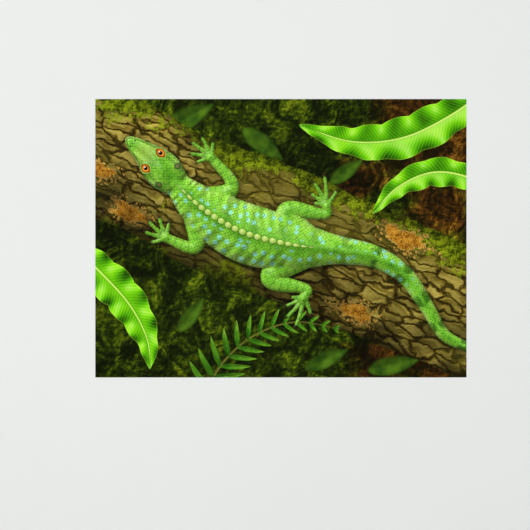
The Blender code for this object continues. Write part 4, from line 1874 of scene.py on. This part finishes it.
@dataclass(frozen=True)
class FloorPaint:
    """A plain pale floor."""

    tone: Colour = tint(228, 227, 225)
    shade: Colour = tint(234, 233, 231)
    cloud: Grain = Grain(2.0)

    def make(self) -> bpy.types.Material:
        """The material."""
        s = Sketch("floor_paint")
        cloud = s.noise(s.place, self.cloud, flat=False)
        return s.dress(s.mix(cloud, self.tone, self.shade), 0.8)


def made(name: str, shape: bmesh.types.BMesh, *materials: bpy.types.Material) -> bpy.types.Object:
    """Makes an object of a shape.

    Args:
        name: The piece's name.
        shape: Its mesh, which is freed.
        materials: Its materials.

    Returns:
        The object, at the origin.
    """
    mesh = bpy.data.meshes.new(name)
    shape.to_mesh(mesh)
    shape.free()
    for material in materials:
        mesh.materials.append(material)
    piece = bpy.data.objects.new(name, mesh)
    bpy.context.scene.collection.objects.link(piece)
    LOG.info("%s: %d faces", name, len(mesh.polygons))
    return piece


def upright_grid(width: float, height: float, columns: int = 1, rows: int = 1) -> bmesh.types.BMesh:
    """A net in the wall's plane.

    Args:
        width: Its width.
        height: Its height.
        columns: Its cells across.
        rows: Its cells upwards.

    Returns:
        The shape, facing -Y.
    """
    shape = bmesh.new()
    bmesh.ops.create_grid(shape, x_segments=columns, y_segments=rows, size=0.5)
    bmesh.ops.scale(shape, verts=shape.verts, vec=(width, height, 1.0))
    bmesh.ops.rotate(shape, verts=shape.verts, matrix=Matrix.Rotation(math.pi / 2, 3, "X"))
    return shape


def gathered(items: Sequence, name: str, width: int, kind: type = float) -> Array:
    """One property of all of a mesh's items.

    Args:
        items: The mesh's vertices, loops or polygons.
        name: The property's name.
        width: How many numbers it has.
        kind: Their kind.

    Returns:
        The numbers, a row to an item.
    """
    values = np.empty(len(items) * width, kind)
    items.foreach_get(name, values)
    return values.reshape(-1, width)


@dataclass
class Mural:
    """The sheet itself: adhesive coat, film and print, one on the other.

    Attributes:
        width: The sheet's width, right to left.
        height: Its height.
        front: Where its printed face is, in front of the wall.
        adhesive: How thick the adhesive coat is.
        inset: How far the coat's edge lies inside the film's.
        ink: How thick the printed layer is.
        columns: The print's cells across.
        rows: Its cells upwards.
        picture: The picture on it.
        map_margin: The margin of the print's map for baking, as a share of the map, as the next four are.
        map_face: How far up the map its face starts.
        map_strips: Where the strips for its upper, lower, right and left sides start.
        map_strip: How high a strip is.
        map_back: How wide the place for its back is.
    """

    width: float
    height: float
    front: float
    adhesive: float = 0.0001
    inset: float = 0.0008
    ink: float = 0.0003
    columns: int = 360
    rows: int = 270
    picture: Picture = Picture()
    map_margin: float = 0.004
    map_face: float = 0.245
    map_strips: tuple[float, ...] = (0.225, 0.205, 0.185, 0.165)
    map_strip: float = 0.012
    map_back: float = 0.19

    def slab(self, back: float, front: float, inset: float, bevel: float) -> bmesh.types.BMesh:
        """A flat layer of the sheet with softened edges.

        Args:
            back: How far its back is from the wall.
            front: How far its front is.
            inset: How far its edge lies inside the sheet's.
            bevel: The softening's width.

        Returns:
            The shape.
        """
        shape = bmesh.new()
        bmesh.ops.create_cube(shape, size=1.0)
        size = (self.width - 2 * inset, front - back, self.height - 2 * inset)
        bmesh.ops.scale(shape, verts=shape.verts, vec=size)
        bmesh.ops.translate(shape, verts=shape.verts, vec=(0.0, -(front + back) / 2, 0.0))
        bmesh.ops.bevel(shape, geom=shape.edges[:], offset=bevel, segments=2, profile=0.5,
                        affect="EDGES", material=-1)
        return shape

    def build_adhesive(self) -> None:
        """The adhesive coat, a little inside the film's edge."""
        shape = self.slab(0.0, self.adhesive, self.inset, self.adhesive * 0.2)
        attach(made("mural_adhesive", shape, AdhesiveFinish().make()), "root")

    def build_film(self) -> None:
        """The white film."""
        shape = self.slab(self.adhesive, self.front - self.ink, 0.0, self.adhesive * 0.5)
        piece = made("mural_film", shape, FilmFinish().make())
        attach(piece, "root")
        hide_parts("film")

    def build_print(self) -> None:
        """The printed layer, a fine net on its face so that it can carry the picture's fields."""
        shape = upright_grid(self.width, self.height, self.columns, self.rows)
        bmesh.ops.translate(shape, verts=shape.verts, vec=(0.0, -self.front, 0.0))
        edge_shade = [edge for edge in shape.edges if edge.is_boundary]
        sides = bmesh.ops.extrude_edge_only(shape, edges=edge_shade)["geom"]
        corners = [item for item in sides if isinstance(item, bmesh.types.BMVert)]
        bmesh.ops.translate(shape, verts=corners, vec=(0.0, self.ink, 0.0))
        bmesh.ops.edgeloop_fill(shape, edges=[edge for edge in shape.edges if edge.is_boundary])
        bmesh.ops.recalc_face_normals(shape, faces=shape.faces)
        for face in shape.faces:
            face.material_index = 0 if face.normal.y < -0.5 else 1
        piece = made("mural_print", shape, PrintFinish(self.picture).make(), FilmFinish().make())
        self.paint(piece.data)
        self.unwrap(piece.data)
        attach(piece, "root")
        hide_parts(*(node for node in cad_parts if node.startswith("print_")))

    def paint(self, mesh: bpy.types.Mesh) -> None:
        """Gives the print's points the picture's fields.

        Args:
            mesh: The print's mesh.
        """
        canvas = Canvas(self.width, self.height, self.columns, self.rows)
        self.picture.draw(canvas)
        places = gathered(mesh.vertices, "co", 3)
        row, column = canvas.place(places[:, 0], places[:, 2])
        row = np.clip(np.rint(row).astype(int), 0, self.rows)
        column = np.clip(np.rint(column).astype(int), 0, self.columns)
        for name, values in canvas.fields.items():
            layer = mesh.attributes.new(name.value, "FLOAT_VECTOR", "POINT")
            layer.data.foreach_set("vector", values[row, column].astype(np.float32).ravel())
            LOG.info("field %s", name.value)

    def unwrap(self, mesh: bpy.types.Mesh) -> None:
        """Lays the print out flat for baking: its face over most of the map, its sides and back below.

        Args:
            mesh: The print's mesh.
        """
        spot = gathered(mesh.vertices, "co", 3)[gathered(mesh.loops, "vertex_index", 1, int)[:, 0]]
        right, up = spot[:, 0] / self.width + 0.5, (spot[:, 2] + self.height / 2) / self.width
        faces = gathered(mesh.polygons, "loop_total", 1, int)[:, 0]
        normals = np.repeat(gathered(mesh.polygons, "normal", 3), faces, axis=0)
        deep = (spot[:, 1] + self.front) / self.ink
        margin, span = self.map_margin, 1 - 2 * self.map_margin
        u, v = margin + span * right, self.map_face + span * up
        ways = ((0, 1, right), (0, -1, right), (1, 0, up), (-1, 0, up))
        for (way_x, way_z, run), foot in zip(ways, self.map_strips):
            side = normals[:, 0] * way_x + normals[:, 2] * way_z > 0.5
            u[side] = margin + span * run[side]
            v[side] = foot + self.map_strip * deep[side]
        back = normals[:, 1] > 0.5
        u[back], v[back] = margin + self.map_back * right[back], margin + self.map_back * up[back]
        layer = mesh.uv_layers.new(name="OFBake")
        layer.data.foreach_set("uv", np.stack([u, v], axis=1).astype(np.float32).ravel())


@dataclass(frozen=True)
class Room:
    """The bare wall that the mural hangs on, and the floor in front of it."""

    wall_side: float = 6.4
    floor_side: float = 14.0
    gap: float = 0.0005
    overlap: float = 0.0005
    floor_level: float = -1.15

    def build_wall(self, width: float, height: float) -> None:
        """The wall, cut out behind the mural so that the mural's back shows from behind.

        Args:
            width: The mural's width.
            height: Its height.
        """
        shape = upright_grid(self.wall_side, self.wall_side)
        rise = self.wall_side / 2 + self.floor_level
        bmesh.ops.translate(shape, verts=shape.verts, vec=(0.0, self.gap, rise))
        for way, half in (((1, 0, 0), width / 2 - self.overlap), ((0, 0, 1), height / 2 - self.overlap)):
            for side in (1, -1):
                spot = [side * half * part for part in way]
                geometry = [*shape.verts, *shape.edges, *shape.faces]
                bmesh.ops.bisect_plane(shape, geom=geometry, plane_co=spot, plane_no=way)
        hole = min(shape.faces, key=lambda face: face.calc_center_median().length)
        bmesh.ops.delete(shape, geom=[hole], context="FACES_ONLY")
        made("wall", shape, WallPaint().make())

    def build_floor(self) -> None:
        """The floor."""
        shape = bmesh.new()
        bmesh.ops.create_grid(shape, x_segments=1, y_segments=1, size=self.floor_side / 2)
        bmesh.ops.translate(shape, verts=shape.verts, vec=(0.0, 0.0, self.floor_level))
        made("floor", shape, FloorPaint().make())


@dataclass(frozen=True)
class Lamp:
    """A soft square light: where it stands, what it points at, its side and its power."""

    name: str
    place: tuple[float, float, float]
    aim: tuple[float, float, float]
    side: float
    power: float


@dataclass(frozen=True)
class Studio:
    """The photograph's camera, straight in front of the wall, and soft even light."""

    distance: float = 4.0
    aim: Point = (-0.0523, -0.0879)
    seen: float = 1.7414
    sensor: float = 36.0
    sky: float = 0.85
    lamps: tuple[Lamp, ...] = (
        Lamp("light_left", (-2.8, -3.8, 1.0), (-0.5, 0.0, -0.5), 2.2, 20.0),
        Lamp("light_low", (-0.2, -4.6, 0.4), (0.0, 0.0, -1.1), 2.0, 24.0),
        Lamp("light_behind", (-1.4, 3.0, 1.6), (0.0, 0.0, 0.0), 2.0, 20.0),
    )

    def place_camera(self) -> None:
        """Sets the scene's camera."""
        data = bpy.data.cameras.new("camera")
        data.sensor_width = self.sensor
        data.lens = self.sensor * self.distance / self.seen
        camera = bpy.data.objects.new("camera", data)
        bpy.context.scene.collection.objects.link(camera)
        camera.location = (self.aim[0], -self.distance, self.aim[1])
        camera.rotation_euler = (math.pi / 2, 0.0, 0.0)
        bpy.context.scene.camera = camera

    def place_lights(self) -> None:
        """Sets the even sky light and the soft lamps."""
        world = bpy.data.worlds.new("sky")
        world.use_nodes = True
        background = world.node_tree.nodes["Background"]
        background.inputs["Color"].default_value = (1.0, 1.0, 1.0, 1.0)
        background.inputs["Strength"].default_value = self.sky
        bpy.context.scene.world = world
        for lamp in self.lamps:
            data = bpy.data.lights.new(lamp.name, "AREA")
            data.size = lamp.side
            data.energy = lamp.power
            light = bpy.data.objects.new(lamp.name, data)
            bpy.context.scene.collection.objects.link(light)
            light.location = lamp.place
            way = Vector(lamp.aim) - Vector(lamp.place)
            light.rotation_euler = way.to_track_quat("-Z", "Y").to_euler()
            LOG.info("%s", lamp.name)
        bpy.context.scene.view_settings.view_transform = "Standard"


def main() -> None:
    """Builds the mural, its wall and floor, the lights and the camera."""
    logging.basicConfig(level=logging.INFO, format="%(message)s")
    low, high = CAD_BOX
    studio = Studio()
    studio.place_camera()
    mural = Mural(high.x - low.x, high.z - low.z, -low.y)
    mural.build_adhesive()
    mural.build_film()
    mural.build_print()
    room = Room()
    room.build_wall(mural.width, mural.height)
    room.build_floor()
    studio.place_lights()


if __name__ == "__main__":
    main()
